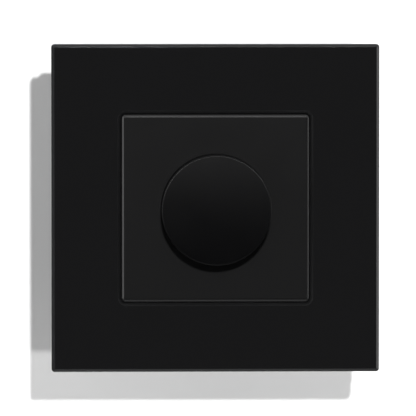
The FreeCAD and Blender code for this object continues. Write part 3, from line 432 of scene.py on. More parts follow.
# The knob's soft edge is polished only a little, so its line is faint; its colour, a shade lighter than the
# knob's, adds a faint painted highlight.
KNOB_RADIUS_PAINTED_HIGHLIGHT = MouldedPlastic(
    "smooth black moulded plastic", "#050506", "#070708", 0.26, 0.5 * MM, 0.002 * MM, specular=0.19
)


# The record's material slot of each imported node.
SLOT_OF = {part["node"]: part["material_slot"] for part in frame["record"]["subparts"]}


# Modelling by hand


class Element(Enum):
    """What edit mode selects."""

    POINTS = "VERT"
    EDGES = "EDGE"
    FACES = "FACE"


class Axis(Enum):
    """What a helix climbs along."""

    Y = "Y"
    Z = "Z"


def deselect_all() -> None:
    """Leaves edit mode and deselects every object."""
    if bpy.context.object and bpy.context.object.mode != "OBJECT":
        bpy.ops.object.mode_set(mode="OBJECT")
    bpy.ops.object.select_all(action="DESELECT")


def pick(piece: Piece) -> None:
    """Makes a piece the only selected one and the active one.

    Args:
        piece: The piece to pick.
    """
    deselect_all()
    piece.select_set(True)
    bpy.context.view_layer.objects.active = piece


def start_edit(piece: Piece, element: Element, everything: bool = True) -> None:
    """Enters edit mode on a piece, with all of it selected or nothing.

    Args:
        piece: The piece to edit.
        element: What is selected.
        everything: Whether all of it is selected.
    """
    pick(piece)
    bpy.ops.object.mode_set(mode="EDIT")
    bpy.ops.mesh.select_mode(type=element.value)
    bpy.ops.mesh.select_all(action="SELECT" if everything else "DESELECT")


def end_edit() -> None:
    """Goes back to object mode."""
    bpy.ops.object.mode_set(mode="OBJECT")


def runs_along_y(edge: Edge) -> bool:
    """Tells whether an edge goes from the front to the back."""
    return abs(edge.verts[0].co.y - edge.verts[1].co.y) > MM


def lies_at(edge: Edge, level: float) -> bool:
    """Tells whether both ends of an edge are at a level along Y."""
    return all(abs(vert.co.y - level) < LEVEL_SLACK for vert in edge.verts)


def bevel_edges(piece: Piece, wanted: Callable[[Edge], bool], width: float, steps: int = 1) -> None:
    """Bevels the edges that pass a test.

    Args:
        piece: The piece with the edges.
        wanted: Tells whether an edge is wanted.
        width: Width of the bevel.
        steps: Number of its steps.
    """
    start_edit(piece, Element.EDGES, everything=False)
    mesh = bmesh.from_edit_mesh(piece.data)
    for edge in mesh.edges:
        if wanted(edge):
            edge.select = True
    mesh.select_flush_mode()
    bmesh.update_edit_mesh(piece.data)
    bpy.ops.mesh.bevel(offset=width, segments=steps, affect="EDGES")
    end_edit()


def add_block(name: str, low: Vector, high: Vector) -> Piece:
    """Adds a cube at its real size and place, as the start of a piece.

    Args:
        name: Name of the piece.
        low: Lowest corner.
        high: Highest corner.

    Returns:
        The object, at the origin and unscaled.
    """
    deselect_all()
    bpy.ops.mesh.primitive_cube_add(size=1.0, location=(low + high) / 2)
    piece = bpy.context.object
    piece.name = name
    piece.scale = high - low
    bpy.ops.object.transform_apply(location=True, rotation=True, scale=True)
    return piece


def add_drum(name: str, middle: Vector, radius: float, depth: float, sides: int = 64) -> Piece:
    """Adds a cylinder along Y at its real size and place, as a start or a cutter.

    Args:
        name: Name of the piece.
        middle: Middle of the cylinder.
        radius: Its radius.
        depth: Its length along Y.
        sides: Number of its sides.

    Returns:
        The object, at the origin and unturned.
    """
    deselect_all()
    bpy.ops.mesh.primitive_cylinder_add(
        vertices=sides, radius=radius, depth=depth, location=middle, rotation=(QUARTER_TURN, 0, 0)
    )
    piece = bpy.context.object
    piece.name = name
    bpy.ops.object.transform_apply(location=True, rotation=True, scale=True)
    return piece


def draw_profile(name: str, points: Iterable[tuple[float, float]]) -> Piece:
    """Draws an open line in the plane of radius and Y by extruding one point along it.

    Args:
        name: Name of the piece.
        points: Radius and Y of each point in turn.

    Returns:
        The object with the line as its mesh.
    """
    points = list(points)
    deselect_all()
    bpy.ops.mesh.primitive_plane_add(size=MM)
    piece = bpy.context.object
    piece.name = name
    start_edit(piece, Element.POINTS)
    bpy.ops.mesh.merge(type="CENTER")
    bpy.ops.transform.translate(value=(points[0][0], points[0][1], 0))
    for before, after in zip(points, points[1:], strict=False):
        step = (after[0] - before[0], after[1] - before[1], 0)
        bpy.ops.mesh.extrude_vertices_move(TRANSFORM_OT_translate={"value": step})
    end_edit()
    return piece


def spin_profile(piece: Piece, steps: int) -> None:
    """Spins a drawn line once round the Y axis and closes its poles.

    Args:
        piece: The object with the line.
        steps: Number of sides of the turned form.
    """
    start_edit(piece, Element.POINTS)
    bpy.ops.mesh.spin(steps=steps, angle=FULL_TURN, center=(0, 0, 0), axis=(0, 1, 0))
    bpy.ops.mesh.select_all(action="SELECT")
    bpy.ops.mesh.remove_doubles(threshold=POLE_MERGE)
    bpy.ops.mesh.normals_make_consistent(inside=False)
    end_edit()


@dataclass(frozen=True)
class Helix:
    """A wire or a thread's groove that climbs round a line along Y or Z."""

    radius: float
    wire: float
    pitch: float
    axis: Axis = Axis.Y
    sides: int = 10
    steps: int = 32

    def build(self, name: str, middle: Vector, run: Run) -> Piece:
        """Sweeps a circle up the helix and closes its ends.

        Args:
            name: Name of the piece.
            middle: A point on the helix's axis.
            run: Levels along the axis where it starts and ends.

        Returns:
            The closed tube, at the origin and unturned.
        """
        deselect_all()
        low, high = run
        turns = max(1, math.ceil((high - low) / self.pitch))
        lying = (0, 0, 0) if self.axis is Axis.Y else (QUARTER_TURN, 0, 0)
        start = Vector((self.radius, low, 0)) if self.axis is Axis.Y else Vector((self.radius, 0, low))
        bpy.ops.mesh.primitive_circle_add(
            vertices=self.sides, radius=self.wire / 2, location=start, rotation=lying
        )
        tube = bpy.context.object
        tube.name = name
        bpy.ops.object.transform_apply(location=True, rotation=True, scale=True)
        climb = tube.modifiers.new("climb", "SCREW")
        climb.axis = self.axis.value
        climb.screw_offset = (high - low) / turns
        climb.iterations = turns
        climb.steps = self.steps
        climb.render_steps = self.steps
        bpy.ops.object.modifier_apply(modifier=climb.name)
        start_edit(tube, Element.POINTS)
        bpy.ops.mesh.fill_holes(sides=0)
        bpy.ops.mesh.normals_make_consistent(inside=False)
        end_edit()
        pick(tube)
        tube.location = middle
        bpy.ops.object.transform_apply(location=True, rotation=False, scale=False)
        return tube


class Way(Enum):
    """What becomes of a second solid."""

    CUT = "DIFFERENCE"
    JOIN = "UNION"


def combine(piece: Piece, other: Piece, way: Way) -> None:
    """Cuts another solid out of a piece, or joins it to the piece as one closed form, and removes it.

    Args:
        piece: The piece that changes.
        other: The second solid.
        way: Whether it is cut out or joined.
    """
    pick(piece)
    change = piece.modifiers.new(way.name, "BOOLEAN")
    change.operation = way.value
    change.solver = "EXACT"
    change.object = other
    bpy.ops.object.modifier_apply(modifier=change.name)
    bpy.data.objects.remove(other)


def shade_evenly(piece: Piece) -> None:
    """Shades a piece smooth. A face that was there before the edges were eased stays flat up to them.

    Args:
        piece: The piece to shade.
    """
    pick(piece)
    bpy.ops.object.shade_smooth_by_angle(angle=math.radians(SMOOTH_LIMIT))
    normals = piece.modifiers.new("even normals", "WEIGHTED_NORMAL")
    normals.keep_sharp = True
    normals.use_face_influence = True
    bpy.ops.object.modifier_apply(modifier=normals.name)
    for strength in [layer for layer in piece.data.attributes if layer.name.startswith("__mod_weighted")]:
        piece.data.attributes.remove(strength)


def ease_edges(piece: Piece, width: float, limit: float = 30.0) -> None:
    """Rounds the sharp edges a little, as every real edge is, and shades the piece smooth.

    The faces that the rounding cuts up are joined again before that, because slivers shade unevenly.

    Args:
        piece: The piece to finish.
        width: Width of the rounding.
        limit: Sharpest angle in degrees that is left alone.
    """
    pick(piece)
    bevel = piece.modifiers.new("eased edges", "BEVEL")
    bevel.width = width
    bevel.segments = EASED_STEPS
    bevel.limit_method = "ANGLE"
    bevel.angle_limit = math.radians(limit)
    bevel.miter_outer = "MITER_ARC"
    bevel.use_clamp_overlap = True
    bevel.face_strength_mode = "FSTR_ALL"
    bpy.ops.object.modifier_apply(modifier=bevel.name)
    start_edit(piece, Element.FACES)
    bpy.ops.mesh.dissolve_limited(angle_limit=math.radians(EASED_FLAT_LIMIT))
    end_edit()
    shade_evenly(piece)


def merged_copy(node: str, name: str) -> Piece:
    """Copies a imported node's mesh without its materials, as a closed form that can be eased.

    The loose triangles are merged, flat seams are dissolved, and faces with hollow outlines are split,
    because a bevel lays faces across their hollows.

    Args:
        node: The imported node.
        name: Name of the new piece.

    Returns:
        The new piece.
    """
    deselect_all()
    mesh = frame["nodes"][node].data.copy()
    mesh.name = name
    piece = bpy.data.objects.new(name, mesh)
    bpy.context.scene.collection.objects.link(piece)
    start_edit(piece, Element.POINTS)
    bpy.ops.mesh.remove_doubles(threshold=MESH_MERGE)
    bpy.ops.mesh.dissolve_limited(angle_limit=math.radians(FLAT_LIMIT))
    bpy.ops.mesh.select_mode(type=Element.FACES.value)
    bpy.ops.mesh.select_all(action="SELECT")
    bpy.ops.mesh.vert_connect_concave()
    end_edit()
    piece.data.materials.clear()
    return piece


@dataclass
class Workshop:
    """What the sub-assemblies share: the materials, each built once, and the ways to finish a piece."""

    made: dict[str, Material] = field(default_factory=dict)

    def finish(self, slot: str) -> Material:
        """Builds a slot's material the first time that it is asked for.

        Args:
            slot: Name of the record's slot.

        Returns:
            The material.
        """
        if slot not in self.made:
            self.made[slot] = FINISHES[slot].material()
        return self.made[slot]

    def dress(self, *nodes: str) -> None:
        """Puts the record's materials on nodes that stay as packed.

        Args:
            nodes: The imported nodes.
        """
        for node in nodes:
            finish = self.finish(SLOT_OF[node])
            materials = frame["nodes"][node].data.materials
            materials.clear()
            materials.append(finish)
            LOG.info("%s dressed as %s", node, finish.name)

    def coat(self, piece: Piece, slot: str, others: Iterable[Finish], choose: Callable[[Face], int]) -> None:
        """Gives a piece its slot's material and some others, and chooses one for each of its faces.

        Args:
            piece: The piece to dress.
            slot: Name of the record's slot.
            others: The other finishes.
            choose: Tells the number of a face's material, where 0 is the slot's.
        """
        for coat in (self.finish(slot), *(finish.material() for finish in others)):
            piece.data.materials.append(coat)
        for face in piece.data.polygons:
            face.material_index = choose(face)

    def place(self, piece: Piece, node: str) -> None:
        """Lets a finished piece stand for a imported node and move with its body.

        Args:
            piece: The finished piece, which gets its slot's material if it has none yet.
            node: The node that it replaces.
        """
        body = frame["nodes"][node]["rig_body"]
        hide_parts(node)
        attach(piece, body)
        if not piece.data.materials:
            piece.data.materials.append(self.finish(SLOT_OF[node]))
        LOG.info("%s stands for %s with %d faces", piece.name, node, len(piece.data.polygons))

    def ease(self, *forms: Form) -> None:
        """Replaces nodes by the same forms with eased edges.

        Args:
            forms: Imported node, name of the new piece and width of its eased edges, for each in turn.
        """
        for node, name, width in forms:
            piece = merged_copy(node, name)
            ease_edges(piece, width)
            self.place(piece, node)

    def thread(self, form: Form, groove: Helix, middle: Vector, run: Run) -> None:
        """Replaces a node by the same form with eased edges and a thread cut round its shank.

        Args:
            form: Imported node, name of the new piece and width of its eased edges.
            groove: The thread's groove.
            middle: A point on the shank's axis.
            run: Levels along Y where the thread starts and ends.
        """
        node, name, width = form
        piece = merged_copy(node, name)
        ease_edges(piece, width)
        combine(piece, groove.build("groove", middle, run), Way.CUT)
        shade_evenly(piece)
        self.place(piece, node)


# Glass frame and centre plate


@dataclass
class GlassFrame:
    """The square pane with its square window, its polished bevels and the tape that holds it."""

    shop: Workshop
    corner: float = 0.8 * MM
    corner_steps: int = 6
    bevel: float = 0.7 * MM
    window_corner: float = 1.35 * MM
    window_steps: int = 8
    window_gap: float = 0.05 * MM
    window_bevel: float = 0.7 * MM
    arris: float = 0.05 * MM
    arris_limit: float = 20.0
    cutter_reach: float = 5 * MM
    level_face: float = 0.98
    upright_face: float = 0.1

    def build(self) -> None:
        """Models the pane and dresses the tape."""
        low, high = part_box("glass_frame")
        _, plate_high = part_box("centre_plate")
        window = plate_high.x + CentrePlate.fit + self.window_gap
        pane = add_block("glass_pane", low, high)
        bevel_edges(pane, runs_along_y, self.corner, self.corner_steps)
        bevel_edges(pane, lambda edge: lies_at(edge, low.y), self.bevel)
        near_corner = Vector((-window, low.y - self.cutter_reach, -window))
        far_corner = Vector((window, high.y + self.cutter_reach, window))
        cutter = add_block("window", near_corner, far_corner)
        bevel_edges(cutter, runs_along_y, self.window_corner, self.window_steps)
        combine(pane, cutter, Way.CUT)

        def window_edge(edge: Edge) -> bool:
            """Tells whether an edge is where the front meets the window's wall."""
            upright = any(abs(face.normal.y) < self.upright_face for face in edge.link_faces)
            return upright and lies_at(edge, low.y)

        bevel_edges(pane, window_edge, self.window_bevel)
        ease_edges(pane, self.arris, self.arris_limit)

        def finish_of(face: Face) -> int:
            """Tells whether a face is the pane's front or back, its outer edge or the window's."""
            if abs(face.normal.y) > self.level_face:
                return 0
            return 2 if max(abs(face.center.x), abs(face.center.z)) < window + 2 * self.window_bevel else 1

        # The outer edge's and the window's finishes carry painted light in their colours.
        self.shop.coat(pane, "black_glass", (GLASS_EDGE_PAINTED_LIGHT, WINDOW_EDGE_PAINTED_LIGHT), finish_of)
        self.shop.place(pane, "glass_frame")
        self.shop.dress("frame_bonding_tape")


@dataclass
class CentrePlate:
    """The square moulded plate in the window, hollow behind, with a round recess for the nut."""

    shop: Workshop
    fit: float = 0.14 * MM
    corner: float = 1.2 * MM
    round_over: float = 1.05 * MM
    steps: int = 8
    face: float = 1.8 * MM
    wall: float = 1.4 * MM
    recess_depth: float = 1.4 * MM
    recess_radius: float = 9.5 * MM
    hole_radius: float = 5.25 * MM
    boss_radius: float = 11 * MM
    boss_lead: float = 1.8 * MM
    rib: float = 1.2 * MM
    rib_depth: float = 2.2 * MM
    recess_cutter: float = 4 * MM
    hole_cutter: float = 30 * MM
    round_sides: int = 96
    edge: float = 0.08 * MM
    edge_limit: float = 35.0
    level_face: float = 0.995

    def build(self) -> None:
        """Models the plate from a block: hollow, ribs, recess, hole and rounded front edge."""
        low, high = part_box("centre_plate")
        fit = Vector((self.fit, 0, self.fit))
        low, high = low - fit, high + fit
        plate = add_block("centre_cover", low, high)
        bevel_edges(plate, runs_along_y, self.corner, self.steps)
        bevel_edges(plate, lambda edge: lies_at(edge, low.y), self.round_over, self.steps)
        inside, back = high.x - self.wall, low.y + self.face
        hollow = add_block("hollow", Vector((-inside, back, -inside)), Vector((inside, high.y + MM, inside)))
        combine(plate, hollow, Way.CUT)
        inner, half_rib = inside + OVERLAP, self.rib / 2
        for name, reach_x, reach_z in (("rib_across", inner, half_rib), ("rib_up", half_rib, inner)):
            rib_low = Vector((-reach_x, back - OVERLAP, -reach_z))
            rib_high = Vector((reach_x, back + self.rib_depth, reach_z))
            combine(plate, add_block(name, rib_low, rib_high), Way.JOIN)
        _, washer_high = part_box("neck_washer")
        boss_low, boss_high = back - OVERLAP, washer_high.y + self.boss_lead
        middle = Vector((0, (boss_low + boss_high) / 2, 0))
        combine(plate, add_drum("boss", middle, self.boss_radius, boss_high - boss_low), Way.JOIN)
        recess = Vector((0, low.y + self.recess_depth - self.recess_cutter / 2, 0))
        for name, middle, radius, depth in (
            ("recess", recess, self.recess_radius, self.recess_cutter),
            ("neck_hole", Vector((0, low.y, 0)), self.hole_radius, self.hole_cutter),
        ):
            combine(plate, add_drum(name, middle, radius, depth, self.round_sides), Way.CUT)
        ease_edges(plate, self.edge, self.edge_limit)

        def finish_of(face: Face) -> int:
            """Tells whether a face is the plate's own or belongs to its rounded edge."""
            outside = max(abs(face.center.x), abs(face.center.z)) > high.x - self.round_over
            return 1 if outside and abs(face.normal.y) < self.level_face else 0

        # The rounded edge's finish carries a painted highlight in its lighter colour.
        self.shop.coat(plate, "centre_plastic", (SMOOTH_RADIUS_PAINTED_HIGHLIGHT,), finish_of)
        self.shop.place(plate, "centre_plate")


# Knob and the parts it turns


@dataclass
class Knob:
    """The round knob: a slightly domed face with a soft edge, a skirt, a ribbed underside and its hub."""

    shop: Workshop
    dome: float = 0.6 * MM
    dome_steps: int = 12
    edge: float = 0.4 * MM
    edge_steps: int = 8
    rim: float = 0.15 * MM
    wall: float = 1.6 * MM
    face: float = 2.35 * MM
    chamfer: float = 0.3 * MM
    hub_radius: float = 4.2 * MM
    hub_set_back: float = 1.3 * MM
    bore_radius: float = 3.05 * MM
    ribs: int = 4
    rib: float = 1.0 * MM
    rib_depth: float = 1.3 * MM
    rib_bite: float = 0.3 * MM
    sides: int = 160

    def outline(self) -> list[tuple[float, float]]:
        """Draws half a section, from the middle of the knob's face round to the middle of its underside.

        Returns:
            Radius and Y of each point.
        """
        low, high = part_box("dimmer_knob")
        radius, front, back = high.x, low.y, high.y
        flat_radius = radius - self.edge
        shares = [part / self.dome_steps for part in range(self.dome_steps + 1)]
        points = [(flat_radius * share, front + self.dome * share**2) for share in shares]
        start = math.atan(2 * self.dome / flat_radius)
        for step in range(1, self.edge_steps + 1):
            angle = start + (QUARTER_TURN - start) * step / self.edge_steps
            points.append((
                flat_radius + self.edge * (math.sin(angle) - math.sin(start)) / (1 - math.sin(start)),
                front + self.dome + self.edge * (math.cos(start) - math.cos(angle)),
            ))
        ceiling, skirt, hub_end = front + self.face, radius - self.wall, back - self.hub_set_back
        points += [
            (radius, back - self.rim), (radius - self.rim, back), (skirt, back),
            (skirt, ceiling + self.chamfer), (skirt - self.chamfer, ceiling),
            (self.hub_radius, ceiling), (self.hub_radius, hub_end), (self.bore_radius, hub_end),
            (self.bore_radius, ceiling), (0, ceiling),
        ]
        return points

    def build(self) -> None:
        """Models the cap and dresses the spindle, its ring and the clip."""
        cap = draw_profile("knob_cap", self.outline())
        spin_profile(cap, self.sides)
        low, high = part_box("dimmer_knob")
        start, end = self.hub_radius - self.rib_bite, high.x - self.wall + self.rib_bite
        ceiling, half = low.y + self.face, self.rib / 2
        for turn in range(self.ribs):
            rib_low = Vector((start, ceiling - OVERLAP, -half))
            rib = add_block(f"rib_{turn}", rib_low, Vector((end, ceiling + self.rib_depth, half)))
            rib.rotation_euler = (0, FULL_TURN / self.ribs * turn, 0)
            bpy.ops.object.transform_apply(location=True, rotation=True, scale=True)
            combine(cap, rib, Way.JOIN)
        shade_evenly(cap)

        def finish_of(face: Face) -> int:
            """Tells whether a face is the knob's own or belongs to its soft edge."""
            outside = math.hypot(face.center.x, face.center.z) > high.x - self.edge
            return 1 if outside and face.center.y < low.y + self.dome + self.edge else 0

        # The soft edge's finish carries a faint painted highlight in its colour.
        self.shop.coat(cap, "knob_plastic", (KNOB_RADIUS_PAINTED_HIGHLIGHT,), finish_of)
        self.shop.place(cap, "dimmer_knob")
        self.shop.dress("knob_spring_clip", "spindle", "spindle_circlip")


@dataclass
class Neck:
    """The threaded neck with its nut and washer, and the potentiometer and push switch behind it.

    The thread is cut 0.75 mm apart, and the spring's wire is wound about 1 mm apart.
    """

    shop: Workshop
    neck_radius: float = 5 * MM
    neck_edge: float = 0.08 * MM
    groove: float = 0.5 * MM
    groove_share: float = 0.25
    thread_pitch: float = 0.75 * MM
    thread_lead: float = 2 * MM
    spring_wire: float = 0.5 * MM
    spring_pitch: float = 1.0 * MM
    push_travel: float = 1.6 * MM
    fastenings: tuple[Form, ...] = (
        ("neck_nut", "hexagon_nut", 0.1 * MM),
        ("neck_washer", "flat_washer", 0.06 * MM),
    )
    mechanism: tuple[Form, ...] = (
        ("pot_housing", "phenolic_case", 0.2 * MM),
        ("wiper_rotor", "moulded_rotor", 0.1 * MM),
        ("push_switch_housing", "switch_case", 0.2 * MM),
        ("switch_plunger", "moulded_plunger", 0.12 * MM),
        ("switch_contacts", "bent_contacts", 0.06 * MM),
        ("contact_bridge", "bronze_bridge", 0.06 * MM),
    )

    def build_spring(self) -> None:
        """Winds the return spring and gives it a mesh of its own."""
        low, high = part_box("return_spring")
        half_wire = self.spring_wire / 2
        wire = Helix(high.x - half_wire, self.spring_wire, self.spring_pitch, sides=12, steps=40)
        spring = wire.build("coil_spring", Vector(), (low.y + half_wire, high.y - half_wire))
        shade_evenly(spring)
        self.shop.place(spring, "return_spring")
        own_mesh(spring)

    def build(self) -> None:
        """Eases the fastenings, threads the bushing, winds the spring and makes the parts behind them."""
        self.shop.ease(*self.fastenings)
        low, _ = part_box("pot_bushing")
        _, washer_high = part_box("neck_washer")
        radius = self.neck_radius + self.groove * self.groove_share
        groove = Helix(radius, self.groove, self.thread_pitch, sides=6)
        run = (low.y - self.thread_pitch, washer_high.y + self.thread_lead)
        self.shop.thread(("pot_bushing", "threaded_bushing", self.neck_edge), groove, Vector(), run)
        self.build_spring()
        self.shop.ease(*self.mechanism)
        self.shop.dress("track_board", "resistive_track", "wiper_contact")


# Carrier, plate and module


@dataclass
class MountingParts:
    """The moulded carrier behind the glass and the stamped plate that is screwed to the box."""

    shop: Workshop
    forms: tuple[Form, ...] = (
        ("frame_carrier", "carrier_moulding", 0.15 * MM),
        ("support_plate", "plate_stamping", 0.12 * MM),
    )

    def build(self) -> None:
        """Eases the edges of the carrier and of the plate."""
        self.shop.ease(*self.forms)


@dataclass
class Module:
    """The housing that sits in the wall box, its cover, screws and wire terminals, and what is inside.

    The choke's wire lies in two layers round its flat core.
    """

    shop: Workshop
    choke_wire: float = 0.7 * MM
    wire_gap: float = 0.05 * MM
    squareness: float = 6.0
    forms: tuple[Form, ...] = (
        ("rear_housing", "housing_moulding", 0.25 * MM),
        ("module_cover", "cover_moulding", 0.15 * MM),
        ("terminal_block", "terminal_moulding", 0.12 * MM),
        ("housing_screws", "slotted_housing_screws", 0.1 * MM),
        ("terminal_screws", "slotted_terminal_screws", 0.08 * MM),
        ("suppression_capacitor", "capacitor_box", 0.4 * MM),
        ("choke_core", "pressed_core", 0.25 * MM),
        ("triac", "switching_element", 0.12 * MM),
        ("heat_sink", "finned_profile", 0.1 * MM),
        ("board_resistors", "lacquered_resistors", 0.25 * MM),
        ("terminal_clamps", "brass_cages", 0.1 * MM),
    )

    def wind_layer(self, name: str, inward: float) -> Piece:
        """Winds one layer of wire round the choke's core.

        Args:
            name: Name of the layer.
            inward: How far its outside lies inside the winding's.

        Returns:
            The layer.
        """
        low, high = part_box("choke_winding")
        middle = (low + high) / 2
        half_wire = self.choke_wire / 2
        reach_x = (high.x - low.x) / 2 - inward - half_wire
        reach_y = (high.y - low.y) / 2 - inward - half_wire
        wire = Helix(reach_x, self.choke_wire, self.choke_wire + self.wire_gap, Axis.Z, sides=8, steps=48)
        run = (low.z + half_wire, high.z - half_wire)
        layer = wire.build(name, Vector((middle.x, middle.y, 0)), run)
        for point in layer.data.vertices:
            along_x, along_y = point.co.x - middle.x, point.co.y - middle.y
            reach = math.hypot(along_x, along_y)
            share_x, share_y = abs(along_x / reach), abs(along_y / reach)
            power = self.squareness
            path = ((share_x / reach_x) ** power + (share_y / reach_y) ** power) ** (-1 / power)
            grown = (path + reach - reach_x) / reach
            point.co.x = middle.x + along_x * grown
            point.co.y = middle.y + along_y * grown
        return layer

    def build_winding(self) -> None:
        """Winds both layers of the choke and joins them to one piece."""
        outer = self.wind_layer("choke_turns", 0)
        inner = self.wind_layer("inner_turns", self.choke_wire)
        pick(outer)
        inner.select_set(True)
        bpy.ops.object.join()
        shade_evenly(outer)
        self.shop.place(outer, "choke_winding")

    def build(self) -> None:
        """Winds the choke, eases the mouldings and the circuit's larger parts and dresses the rest."""
        self.build_winding()
        self.shop.ease(*self.forms)
        self.shop.dress("circuit_board", "fuse")


@dataclass
class SpreadingClaw:
    """One claw with the screw that draws it forwards and its square nut."""

    shop: Workshop
    side: Side
    edge: float = 0.15 * MM
    screw_edge: float = 0.1 * MM
    shank_radius: float = 1.5 * MM
    head_height: float = 1.9 * MM
    plain_shank: float = 1.2 * MM
    groove: float = 0.44 * MM
    groove_share: float = 0.2
    thread_pitch: float = 0.7 * MM

    def build_screw(self, name: str) -> None:
        """Makes the screw with its thread.

        Args:
            name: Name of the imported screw.
        """
        low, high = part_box(name)
        middle = Vector(((low.x + high.x) / 2, 0, (low.z + high.z) / 2))
        radius = self.shank_radius + self.groove * self.groove_share
        groove = Helix(radius, self.groove, self.thread_pitch, sides=6, steps=20)
        run = (low.y + self.head_height + self.plain_shank, high.y + self.thread_pitch)
        self.shop.thread((name, name.replace("claw", "slotted"), self.screw_edge), groove, middle, run)

    def build(self) -> None:
        """Eases the edges of the claw and its nut and makes the screw."""
        word = self.side.name.lower()
        self.shop.ease((f"{word}_claw", f"{word}_claw_stamping", self.edge))
        self.build_screw(f"{word}_claw_screw")
        self.shop.ease((f"{word}_claw_nut", f"{word}_square_nut", self.edge))


# Studio


class LightReach(Enum):
    """What a linked light does with the pieces that are named for it."""

    ONLY = "INCLUDE"
    ALL_BUT = "EXCLUDE"


@dataclass(frozen=True)
class LightPatch:
    """A round soft patch of light in the surroundings, given by angles in degrees.

    Azimuth 0 is in front of the object and 90 to its right, elevation is above the horizon.
    """

    azimuth: float
    elevation: float
    core: float
    fade: float
    strength: float

    def glow(self, tree: Tree, direction: Socket) -> Socket:
        """Adds the nodes of the patch.

        Args:
            tree: Node tree of the surroundings.
            direction: Socket with the direction that is looked along.

        Returns:
            The socket with the patch's strength in that direction.
        """
        turn, lift = math.radians(self.azimuth), math.radians(self.elevation)
        middle = (math.sin(turn) * math.cos(lift), -math.cos(turn) * math.cos(lift), math.sin(lift))
        along = {"operation": "DOT_PRODUCT", 1: middle}
        facing = add_node(tree, "ShaderNodeVectorMath", along, {0: direction}).outputs["Value"]
        edge = {
            "interpolation_type": "SMOOTHSTEP",
            "From Min": math.cos(math.radians(self.fade)),
            "From Max": math.cos(math.radians(self.core)),
            "To Max": self.strength,
        }
        return add_node(tree, "ShaderNodeMapRange", edge, {"Value": facing}).outputs[0]


